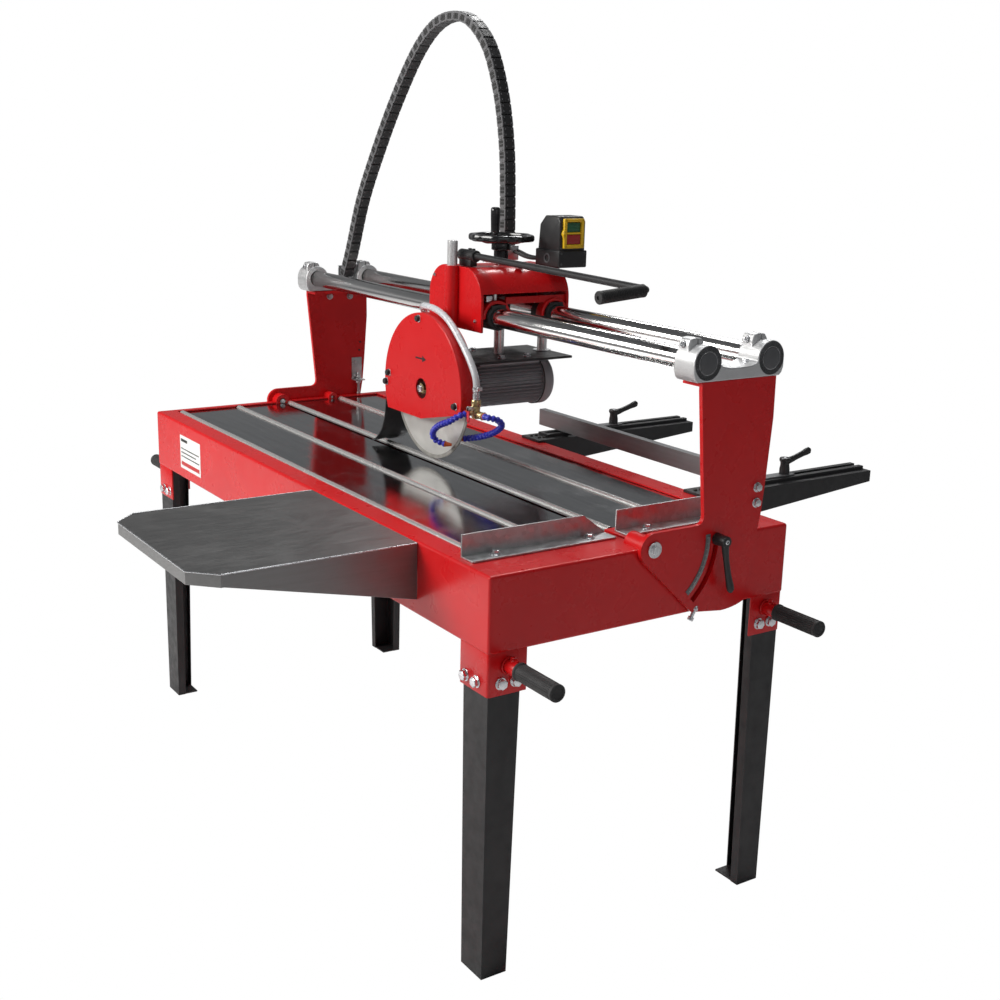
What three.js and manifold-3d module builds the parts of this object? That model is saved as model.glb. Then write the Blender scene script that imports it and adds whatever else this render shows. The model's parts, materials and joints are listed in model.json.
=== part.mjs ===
// Bridge-type wet tile saw on four bolted legs.
// Millimetres, +Z up, floor at z = 0. X runs along the table (the cut), -Y is the side-table side,
// +Y the side with the motor and the extension arms. The origin is on the floor under the middle of the object.
import * as THREE from "three";
import { mergeVertices } from "three/addons/utils/BufferGeometryUtils.js";
import Module from "manifold-3d";
const wasm = await Module();
wasm.setup();

// ---------- driving dimensions ----------
const TABLE_L = 1750, TABLE_W = 762, TABLE_Z = 850; // red tub outside, top edge height
const APRON_Z = 695, POCKET_Z = 609; // bottom of the aprons, bottom of the leg pockets
const SHEET = 4; // red folded sheet
const HX = TABLE_L / 2, HY = TABLE_W / 2;
const PLATE_Z = 845; // polished table plate
const TUBE_R = 8, TUBE_CZ = 844, TUBE_YS = [-316, -142, 22, 191]; // chrome support tubes
const SHELF_X = 720; // inner edge of the right shelf
const PIVOT_Y = 0, PIVOT_Z = 850, LOCK_R = 165; // tilt axis and radius of the lock slot
const UP_X0 = 877, UP_T = 10; // tilting uprights
const RAIL_R = 22.5, RAIL_Y = [110, 280], RAIL_Z = 1215;
const CLAMP_X0 = 828, CLAMP_X1 = 890;
const CAR_X = 22; // carriage centre at rest
const CAR_HW = 120, CAR_Y0 = 62, CAR_Y1 = 320, CAR_Z0 = 1180, CAR_Z1 = 1329;
const COL_R = 12.5, COL_Y = [54, 328];
const BLADE_R = 175, BLADE_Z = 1035, BLADE_T = 3;
const MOTOR_R = 64, MOTOR_Y0 = 62, MOTOR_Y1 = 330;
const ARM_X = [-60, 602], ARM_W = 80, ARM_Y1 = 900;
const Y_SHIFT = -26.5, X_SHIFT = 0; // set so that the origin is under the middle of the bounding box

// ---------- helpers ----------
const V2 = (x, y) => new THREE.Vector2(x, y);
const V3 = (x, y, z) => new THREE.Vector3(x, y, z);
function solid(g) {
  g = g.clone();
  for (const k of Object.keys(g.attributes)) if (k !== "position") g.deleteAttribute(k);
  g = mergeVertices(g, 1e-3);
  const a = g.index.array, tri = []; // drop the zero-width triangles left where two outline points coincide
  for (let i = 0; i < a.length; i += 3) if (a[i] !== a[i + 1] && a[i + 1] !== a[i + 2] && a[i] !== a[i + 2]) tri.push(a[i], a[i + 1], a[i + 2]);
  return new wasm.Manifold(new wasm.Mesh({ numProp: 3, vertProperties: new Float32Array(g.attributes.position.array), triVerts: new Uint32Array(tri) }));
}
function geom(m) {
  const r = m.getMesh(), n = r.numProp, p = new Float32Array((r.vertProperties.length / n) * 3);
  for (let i = 0; i < p.length / 3; i++) for (let k = 0; k < 3; k++) p[3 * i + k] = r.vertProperties[i * n + k];
  const g = new THREE.BufferGeometry();
  g.setAttribute("position", new THREE.BufferAttribute(p, 3));
  g.setIndex(new THREE.BufferAttribute(new Uint32Array(r.triVerts), 1));
  return g;
}
const join = (...a) => a.map((g) => (g.isBufferGeometry ? solid(g) : g)).reduce((s, g) => s.add(g));
const cut = (a, ...b) => b.map((g) => (g.isBufferGeometry ? solid(g) : g)).reduce((s, g) => s.subtract(g), a.isBufferGeometry ? solid(a) : a);
const box = (x0, x1, y0, y1, z0, z1) => new THREE.BoxGeometry(x1 - x0, y1 - y0, z1 - z0).translate((x0 + x1) / 2, (y0 + y1) / 2, (z0 + z1) / 2);
// cylinder along an axis, from a to b, centred on (u, v) in the other two axes in cyclic order
function rod(axis, r, a, b, u, v, seg = 20, r2 = r) {
  const g = new THREE.CylinderGeometry(r2, r, b - a, seg); // along +Y, r at the low end
  if (axis === "y") return g.translate(v, (a + b) / 2, u); // u = z, v = x
  if (axis === "x") return g.rotateZ(-Math.PI / 2).translate((a + b) / 2, u, v); // u = y, v = z
  return g.rotateX(Math.PI / 2).translate(u, v, (a + b) / 2); // u = x, v = y
}
// closed outline extruded along an axis: x takes (y,z) points, y takes (x,z), z takes (x,y)
function prism(axis, pts, a, b, holes = [], curve = 10) {
  const tidy = (q) => { // plain points, with none repeated
    const p = q instanceof THREE.Path ? q.getPoints(curve) : q.map((v) => V2(v[0], v[1])), out = [];
    for (const v of p) if (!out.length || out[out.length - 1].distanceTo(v) > 1e-2) out.push(v);
    while (out[0].distanceTo(out[out.length - 1]) < 1e-2) out.pop();
    return out;
  };
  const s = new THREE.Shape(tidy(pts));
  for (const h of holes) s.holes.push(new THREE.Path(tidy(h)));
  const g = new THREE.ExtrudeGeometry(s, { depth: b - a, bevelEnabled: false, curveSegments: curve });
  const m = new THREE.Matrix4();
  if (axis === "x") m.makeBasis(V3(0, 1, 0), V3(0, 0, 1), V3(1, 0, 0)).setPosition(a, 0, 0);
  else if (axis === "y") m.makeBasis(V3(1, 0, 0), V3(0, 0, 1), V3(0, -1, 0)).setPosition(0, b, 0);
  else m.setPosition(0, 0, a);
  return g.applyMatrix4(m);
}
const circlePath = (x, y, r, n = 16) => Array.from({ length: n }, (_, i) => [x + r * Math.cos((i / n) * Math.PI * 2), y + r * Math.sin((i / n) * Math.PI * 2)]);
const disc = (r, seg) => { const s = new THREE.Shape(); for (let i = 0; i < seg; i++) { const a = (i / seg) * Math.PI * 2; i ? s.lineTo(r * Math.cos(a), r * Math.sin(a)) : s.moveTo(r, 0); } return s; };
const sweep = (pts, r, steps, seg = 8) => new THREE.ExtrudeGeometry(disc(r, seg), { steps, bevelEnabled: false, extrudePath: new THREE.CatmullRomCurve3(pts.map((p) => V3(...p)), false, "centripetal") });
const lathe = (prof, seg, axis, u, v, w) => { // profile (radius, height) closed on the axis; height runs along +axis from w
  const g = new THREE.LatheGeometry(prof.map((p) => V2(p[0], p[1])), seg);
  if (axis === "y") return g.translate(v, w, u);
  if (axis === "x") return g.rotateZ(-Math.PI / 2).translate(w, u, v);
  return g.rotateX(Math.PI / 2).translate(u, v, w);
};

// straight-sided solid between two outlines with the same number of points
function loft(p0, p1, z0, z1) {
  const turn = THREE.ShapeUtils.area(p0.map((p) => V2(...p))) < 0;
  if (turn) [p0, p1] = [[...p0].reverse(), [...p1].reverse()];
  const n = p0.length, cap = THREE.ShapeUtils.triangulateShape(p0.map((p) => V2(...p)), []), idx = [];
  for (const [a, b, c] of cap) idx.push(a, c, b, a + n, b + n, c + n);
  for (let i = 0; i < n; i++) { const j = (i + 1) % n; idx.push(i, j, j + n, i, j + n, i + n); }
  const g = new THREE.BufferGeometry();
  g.setAttribute("position", new THREE.BufferAttribute(new Float32Array([...p0.flatMap((p) => [...p, z0]), ...p1.flatMap((p) => [...p, z1])]), 3));
  g.setIndex(idx);
  return g;
}
// outline of a bent strip of thickness t laid to the left of a polyline
function strip(p, t) {
  const off = p.map((q, i) => {
    const a = p[Math.max(0, i - 1)], b = p[Math.min(p.length - 1, i + 1)], l = Math.hypot(b[0] - a[0], b[1] - a[1]);
    return [q[0] - ((b[1] - a[1]) / l) * t, q[1] + ((b[0] - a[0]) / l) * t];
  });
  return [...p, ...off.reverse()];
}
// ---------- materials ----------
const mat = (c, r, m) => () => new THREE.MeshStandardMaterial({ color: c, roughness: r, metalness: m });
const RED = mat(0xc4171b, 0.35, 0.1), BLACK = mat(0x17181a, 0.5, 0.1), STEEL = mat(0xb8bbbd, 0.25, 1), CHROME = mat(0xdcdee0, 0.08, 1), ALU = mat(0xb9bcbe, 0.45, 1), GALV = mat(0xa9afb3, 0.4, 1), RUBBER = mat(0x151515, 0.85, 0), GREY = mat(0x7c7f82, 0.5, 0.6), MOTOR = mat(0x2b2d2f, 0.55, 0.2), CLEAR = mat(0xc8d0d6, 0.2, 0), BRASS = mat(0xb08a3e, 0.35, 1), BLUE = mat(0x1c2fa8, 0.45, 0), GREEN = mat(0x1f7a3a, 0.45, 0), BUTTON_RED = mat(0xb3201c, 0.45, 0), PLASTIC = mat(0x1b1c1e, 0.55, 0);

const root = new THREE.Group();
root.position.set(X_SHIFT, Y_SHIFT, 0);
const bridge = new THREE.Group(), carriage = new THREE.Group(), head = new THREE.Group(), fence = new THREE.Group();
root.add(bridge, fence);
bridge.add(carriage);
carriage.position.x = CAR_X;
carriage.add(head);
function add(parent, name, g, m, pos) {
  const mesh = new THREE.Mesh(geom(g.isBufferGeometry ? solid(g) : g), m());
  mesh.name = name;
  if (pos) mesh.position.set(...pos);
  parent.add(mesh);
  return mesh;
}

// ---------- tub: four folded panels with the corner pockets for the legs ----------
{
  const px = 98, py = 89; // pocket widths on the long and short sides
  const long = (y0, fy0, fy1, name) => {
    const s = [[-HX, POCKET_Z], [-HX + px, POCKET_Z], [-HX + px, APRON_Z], [HX - px, APRON_Z], [HX - px, POCKET_Z], [HX, POCKET_Z], [HX, TABLE_Z], [-HX, TABLE_Z]];
    add(root, name, join(prism("y", s, y0, y0 + SHEET), box(-HX, HX, fy0, fy1, TABLE_Z - SHEET, TABLE_Z)), RED);
  };
  long(-HY, -HY + 1, -330, "tub_front_panel");
  long(HY - SHEET, 320, HY - 1, "tub_rear_panel");
  const Y = HY - SHEET - 0.3;
  const sideOutline = [[-Y, POCKET_Z], [-HY + py, POCKET_Z], [-HY + py, APRON_Z], [HY - py, APRON_Z], [HY - py, POCKET_Z], [Y, POCKET_Z], [Y, TABLE_Z - SHEET - 0.3], [-Y, TABLE_Z - SHEET - 0.3]];
  const bosses = (sx) => {
    const a = sx > 0 ? [UP_X0 - 60, UP_X0 - 0.4] : [-UP_X0 + 0.4, -UP_X0 + 31];
    const b = sx > 0 ? [UP_X0 - 36, UP_X0 - 0.4] : [-UP_X0 + 0.4, -UP_X0 + 36];
    return { add: [rod("x", 22, a[0], a[1], PIVOT_Y, PIVOT_Z, 20), rod("x", 15, b[0], b[1], LOCK_R, PIVOT_Z, 16)], sub: [rod("x", 10.3, a[0] - 1, a[1] + 1, PIVOT_Y, PIVOT_Z, 16), rod("x", 6.3, b[0] - 1, b[1] + 1, LOCK_R, PIVOT_Z, 12)] };
  };
  const L = bosses(-1), R = bosses(1);
  // left end: a narrow flange; right end: the wide shelf that carries the angle stops, slotted for the blade
  const left = join(prism("x", sideOutline, -HX, -HX + SHEET), box(-HX, -848, -329.7, 319.7, TABLE_Z - SHEET, TABLE_Z), ...L.add);
  add(root, "tub_left_end", cut(left, ...L.sub), RED);
  const shelf = cut(box(SHELF_X, HX, -329.7, 319.7, TABLE_Z - SHEET, TABLE_Z), box(SHELF_X - 1, 812, -5, 5, TABLE_Z - 10, TABLE_Z + 5));
  const right = join(prism("x", sideOutline, HX - SHEET, HX), shelf, ...R.add);
  add(root, "tub_right_end", cut(right, ...R.sub), RED);
  // water pan floor with its drain
  const floor = cut(join(box(-HX + 5, HX - 5, -HY + 5, HY - 5, 712, 715), rod("z", 22, 690, 713, 700, 250, 16)), rod("z", 17, 680, 720, 700, 250, 16));
  add(root, "tub_floor", floor, RED);
}
// ---------- table plates, either side of the blade slot, each with two grooves for the tubes ----------
{
  const t = 2.5, d = 12, w = 11;
  const profile = (y0, y1, ys) => {
    const top = [[y0, PLATE_Z]], bot = [];
    for (const y of ys) top.push([y - w, PLATE_Z], [y - w, PLATE_Z - d], [y + w, PLATE_Z - d], [y + w, PLATE_Z]);
    top.push([y1, PLATE_Z]);
    bot.push([y1, PLATE_Z - t]);
    for (const y of [...ys].reverse()) bot.push([y + w + t, PLATE_Z - t], [y + w + t, PLATE_Z - d - t], [y - w - t, PLATE_Z - d - t], [y - w - t, PLATE_Z - t]);
    bot.push([y0, PLATE_Z - t]);
    return [...top, ...bot].reverse();
  };
  const x0 = -870.5, x1 = SHELF_X - 0.3;
  const clear = [rod("x", 23, -900, -845, PIVOT_Y, PIVOT_Z, 20), rod("x", 15.5, -900, -840, LOCK_R, PIVOT_Z, 16)];
  add(root, "table_plate_front", cut(prism("x", profile(-376, -5, TUBE_YS.slice(0, 2)), x0, x1), ...clear), STEEL);
  add(root, "table_plate_rear", cut(prism("x", profile(5, 376, TUBE_YS.slice(2)), x0, x1), ...clear), STEEL);
  TUBE_YS.forEach((y, i) => add(root, "support_tube_" + (i + 1), rod("x", TUBE_R, -843, 716, 0, 0, 14), CHROME, [0, y, TUBE_CZ]));
}
// ---------- legs: tapered folded angles with return lips and a foot plate ----------
for (const [n, sx, sy] of [["front_right", 1, -1], ["front_left", -1, -1], ["rear_right", 1, 1], ["rear_left", -1, 1]]) {
  const T = 3, X = HX - SHEET - 0.4, Y = HY - SHEET - 0.4, zt = 690, lip = 22;
  const section = (wx, wy) => [[X - wx, Y], [X, Y], [X, Y - wy], [X - lip, Y - wy], [X - lip, Y - wy + T], [X - T, Y - wy + T], [X - T, Y - T], [X - wx + T, Y - T], [X - wx + T, Y - lip], [X - wx, Y - lip]];
  let leg = join(loft(section(76, 60), section(88, 75), 0, zt), box(X - 74.5, X - 1.5, Y - 58.5, Y - 1.5, 0, 4));
  if (sx < 0) leg = leg.mirror([1, 0, 0]);
  if (sy < 0) leg = leg.mirror([0, 1, 0]);
  add(root, "leg_" + n, leg, BLACK);
  // carry handle: welded stub tube with a rubber grip pushed over it
  const h = join(lathe([[0, 0], [15, 0], [15, 34], [17, 34], [17, 154], [14, 158], [0, 158]], 16, "x", 0, 0, 0));
  const hm = sx > 0 ? h : h.mirror([1, 0, 0]);
  add(root, "carry_handle_" + n, hm, RUBBER, [sx * (HX + 0.2), sy * 333, 668]);
}
// ---------- side table: folded sheet with a rim and tapered gussets ----------
{
  const x0 = 136, x1 = 612, y0 = -847, y1 = -HY - 0.4, zt = 848, c = 50, t = 2;
  const outline = [[x0, y1], [x0, y0 + c], [x0 + c, y0], [x1 - c, y0], [x1, y0 + c], [x1, y1]];
  const rimIn = [[x0 + t, y1 + 5], [x0 + t, y0 + c + 1], [x0 + c + 1, y0 + t], [x1 - c - 1, y0 + t], [x1 - t, y0 + c + 1], [x1 - t, y1 + 5]];
  const top = solid(prism("z", outline, zt - 27, zt)).subtract(solid(prism("z", rimIn, zt - 40, zt - t)));
  const gus = (x) => prism("x", [[y0 + c + 2, zt - 26], [y1, zt - 120], [y1, zt - 1], [y0 + c + 2, zt - 1]], x, x + t);
  add(root, "side_table", join(top, gus(x0), gus(x1 - t), box(x0, x1, y1 - 2, y1, zt - 60, zt - 1)), STEEL);
}
// ---------- angle stops ----------
{
  const prof = (y0, y1, ch) => {
    const leg = prism("x", ch ? [[y0, TABLE_Z + 0.3], [y1, TABLE_Z + 0.3], [y1, TABLE_Z + 6], [y1 - 55, 897], [y0, 897]] : [[y0, TABLE_Z + 0.3], [y1, TABLE_Z + 0.3], [y1, 897], [y0, 897]], 745, 749);
    return join(leg, box(745, 789, y0, y1, TABLE_Z + 0.3, TABLE_Z + 4.3), rod("z", 8, TABLE_Z + 2, TABLE_Z + 12, 770, y0 + 65, 6), rod("z", 8, TABLE_Z + 2, TABLE_Z + 12, 770, y1 - 55, 6));
  };
  add(root, "front_angle_stop", prof(-364, -18, true), GALV);
  add(root, "rear_angle_stop", prof(12, 330, false), GALV);
}
// ---------- rear extension arms: tapered boxes with a slotted strip on top ----------
ARM_X.forEach((ax, i) => {
  const side = [[HY + 0.4, 786], [ARM_Y1, 829], [ARM_Y1, 857], [HY + 0.4, 857]];
  const body = prism("x", side, ax - ARM_W / 2, ax + ARM_W / 2);
  const plate = box(ax - ARM_W / 2, ax + ARM_W / 2, 358, 470, 850.4, 857);
  const strip = box(ax - 22, ax + 22, 400, ARM_Y1 - 8, 856, 866);
  const hollow = prism("x", [[HY - 5, 792], [ARM_Y1 - 6, 833], [ARM_Y1 - 6, 852], [HY - 5, 852]], ax - ARM_W / 2 + 4, ax + ARM_W / 2 - 4);
  const slot = box(ax - 7, ax + 7, 410, ARM_Y1 + 5, 845, 870);
  add(root, "extension_arm_" + (i ? "right" : "left"), cut(join(body, plate, strip), hollow, slot), BLACK);
});
// rear fence bar with its two slide strips
{
  const bar = cut(box(-150, 692, 450, 470, 868, 912), box(-160, 700, 453, 467, 871, 909));
  const strips = ARM_X.map((ax) => box(ax - 14, ax + 14, 452, 662, 866.5, 870));
  const blocks = ARM_X.map((ax) => box(ax - 6, ax + 6, 560, 660, 856, 867));
  add(fence, "rear_fence", join(bar, ...strips, ...blocks), GREY);
  const lever = (name, ax) => {
    const g = join(rod("z", 12, 870.3, 900, 0, 0, 12, 14), rod("z", 14, 899, 910, 0, 0, 12, 10), solid(rod("y", 9, 0, 84, 0, 0, 8, 7)).rotate([15, 0, 0]).translate([0, 4, 899]));
    add(fence, name, g, BLACK, [ax, 640, 0]);
  };
  lever("fence_lever_left", ARM_X[0]);
  lever("fence_lever_right", ARM_X[1]);
}
// ---------- tilt lock levers, turning on the lock bolts of the tub ----------
for (const sx of [1, -1]) {
  const bolt = rod("x", 6, UP_X0 - 30, UP_X0 + 14, 0, 0, 12);
  const hub = rod("x", 12, UP_X0 + 11, UP_X0 + 44, 0, 0, 14);
  const arm = solid(prism("x", [[-9, -4], [9, -4], [30, -112], [12, -116]], UP_X0 + 30, UP_X0 + 44));
  let g = join(bolt, hub, arm);
  if (sx < 0) g = g.mirror([1, 0, 0]);
  add(root, "tilt_lock_lever_" + (sx > 0 ? "right" : "left"), g, BLACK, [0, LOCK_R, PIVOT_Z]);
}
// ---------- bridge: uprights, rail clamps, rails, pivot bolts, stop screw ----------
for (const sx of [1, -1]) {
  const side = sx > 0 ? "right" : "left";
  const s = new THREE.Shape();
  s.moveTo(300, 1177); s.lineTo(301, 1090); s.lineTo(292, 960); s.lineTo(286, 892); s.lineTo(253, 702);
  s.quadraticCurveTo(225, 690, 190, 690); s.lineTo(110, 700); s.lineTo(-25, 826);
  s.absarc(0, PIVOT_Z, 34, Math.PI * 1.25, Math.PI * 0.5, true);
  s.lineTo(108, 884); s.quadraticCurveTo(128, 884, 127, 904); s.lineTo(101, 1160); s.lineTo(101, 1177);
  const slot = new THREE.Shape(); // arc slot for the lock bolt, 0 to -46 degrees
  const r0 = LOCK_R - 7, r1 = LOCK_R + 7, aN = 12;
  for (let i = 0; i <= aN; i++) { const a = (3 - (52 * i) / aN) * Math.PI / 180; const p = [r1 * Math.cos(a), PIVOT_Z + r1 * Math.sin(a)]; i ? slot.lineTo(...p) : slot.moveTo(...p); }
  for (let i = aN; i >= 0; i--) { const a = (3 - (52 * i) / aN) * Math.PI / 180; slot.lineTo(r0 * Math.cos(a), PIVOT_Z + r0 * Math.sin(a)); }
  let plate = solid(prism("x", s, UP_X0, UP_X0 + UP_T, [circlePath(0, PIVOT_Z, 8.3)], 8)).subtract(solid(prism("x", slot, UP_X0 - 5, UP_X0 + UP_T + 5)));
  plate = plate.add(solid(box(CLAMP_X0, UP_X0 + UP_T, 101, 300, 1168, 1177)));
  if (sx < 0) plate = plate.mirror([1, 0, 0]);
  add(bridge, "upright_" + side, plate, RED);
  // double rail clamp: two split rings on one base
  const ring = (y) => [rod("x", 36, CLAMP_X0, CLAMP_X1, y, RAIL_Z, 24), box(CLAMP_X0, CLAMP_X1, y - 30, y + 30, 1177.4, 1200)];
  const ears = (y) => [box(CLAMP_X0 + 4, CLAMP_X0 + 34, y - 30, y + 2, RAIL_Z + 20, RAIL_Z + 48), ];
  const web = prism("x", [[80, 1177.4], [310, 1177.4], [310, 1200], [250, 1206], [195, 1202], [140, 1206], [80, 1200]], CLAMP_X0 + 6, CLAMP_X1 - 2);
  let c = join(...ring(RAIL_Y[0]), ...ring(RAIL_Y[1]), web, ...ears(RAIL_Y[0]), ...ears(RAIL_Y[1]));
  for (const y of RAIL_Y) {
    const gap = box(CLAMP_X0 - 1, CLAMP_X1 + 1, -2, 2, 0, 60);
    c = c.subtract(solid(rod("x", RAIL_R + 0.3, CLAMP_X0 - 1, CLAMP_X1 + 1, y, RAIL_Z, 24))).subtract(solid(gap).rotate([25, 0, 0]).translate([0, y, RAIL_Z]));
  }
  if (sx < 0) c = c.mirror([1, 0, 0]);
  add(bridge, "rail_clamp_" + side, c, ALU);
  let pb = join(rod("x", 8, UP_X0 - (sx > 0 ? 58 : 30), UP_X0 + 12, PIVOT_Y, PIVOT_Z, 16), rod("x", 17, UP_X0 + UP_T + 0.3, UP_X0 + UP_T + 4, PIVOT_Y, PIVOT_Z, 20), rod("x", 9.5, UP_X0 + UP_T + 3, UP_X0 + UP_T + 10, PIVOT_Y, PIVOT_Z, 6));
  if (sx < 0) pb = pb.mirror([1, 0, 0]);
  add(bridge, "pivot_bolt_" + side, pb, GALV);
}
RAIL_Y.forEach((y, i) => {
  const prof = [[18.5, -CLAMP_X1], [RAIL_R, -CLAMP_X1], [RAIL_R, CLAMP_X1], [18.5, CLAMP_X1], [18.5, -CLAMP_X1]];
  add(bridge, i ? "rail_rear" : "rail_front", lathe(prof, 24, "x", 0, 0, 0), CHROME, [0, y, RAIL_Z]);
});
// cable chain: rises from the left clamp, loops over and lands on the carriage
{
  const p0 = [-862, 222], p1 = [-80, 285], L = Math.hypot(p1[0] - p0[0], p1[1] - p0[1]), d = [(p1[0] - p0[0]) / L, (p1[1] - p0[1]) / L];
  const sz = [[0, 1218], [10, 1238], [36, 1296], [95, 1445], [178, 1589], [270, 1726], [371, 1850], [440, 1906], [495, 1929], [548, 1934], [600, 1925], [645, 1898], [692, 1848], [740, 1740], [768, 1610], [777, 1479], [779, 1399], [781, 1345]];
  const pts = sz.map(([s, z]) => V3(p0[0] + d[0] * s, p0[1] + d[1] * s, z));
  const curve = new THREE.CatmullRomCurve3(pts, false, "centripetal");
  // built as one strip of quads so that the section keeps its width across the loop
  const N = 48, hw = 18, hh = 12.5, pos = [], idx = [];
  const across = V3(-d[1], d[0], 0);
  for (let i = 0; i <= N; i++) {
    const c = curve.getPointAt(i / N), t = curve.getTangentAt(i / N), up = new THREE.Vector3().crossVectors(across, t).normalize();
    for (const [a, b] of [[-hw, -hh], [hw, -hh], [hw, hh], [-hw, hh]]) pos.push(c.x + across.x * a + up.x * b, c.y + across.y * a + up.y * b, c.z + across.z * a + up.z * b);
  }
  for (let i = 0; i < N; i++) for (let k = 0; k < 4; k++) { const a = 4 * i + k, b = 4 * i + ((k + 1) % 4); idx.push(a, b, b + 4, a, b + 4, a + 4); }
  idx.push(0, 2, 1, 0, 3, 2); const e = 4 * N; idx.push(e, e + 1, e + 2, e, e + 2, e + 3);
  let g = new THREE.BufferGeometry(); g.setAttribute("position", new THREE.BufferAttribute(new Float32Array(pos), 3)); g.setIndex(idx);
  let m = new wasm.Manifold(new wasm.Mesh({ numProp: 3, vertProperties: new Float32Array(pos), triVerts: new Uint32Array(idx) }));
  if (m.volume() < 0) { for (let i = 0; i < idx.length; i += 3) [idx[i], idx[i + 1]] = [idx[i + 1], idx[i]]; g.setIndex(idx); }
  add(bridge, "cable_chain", g, RUBBER);
}
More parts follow.
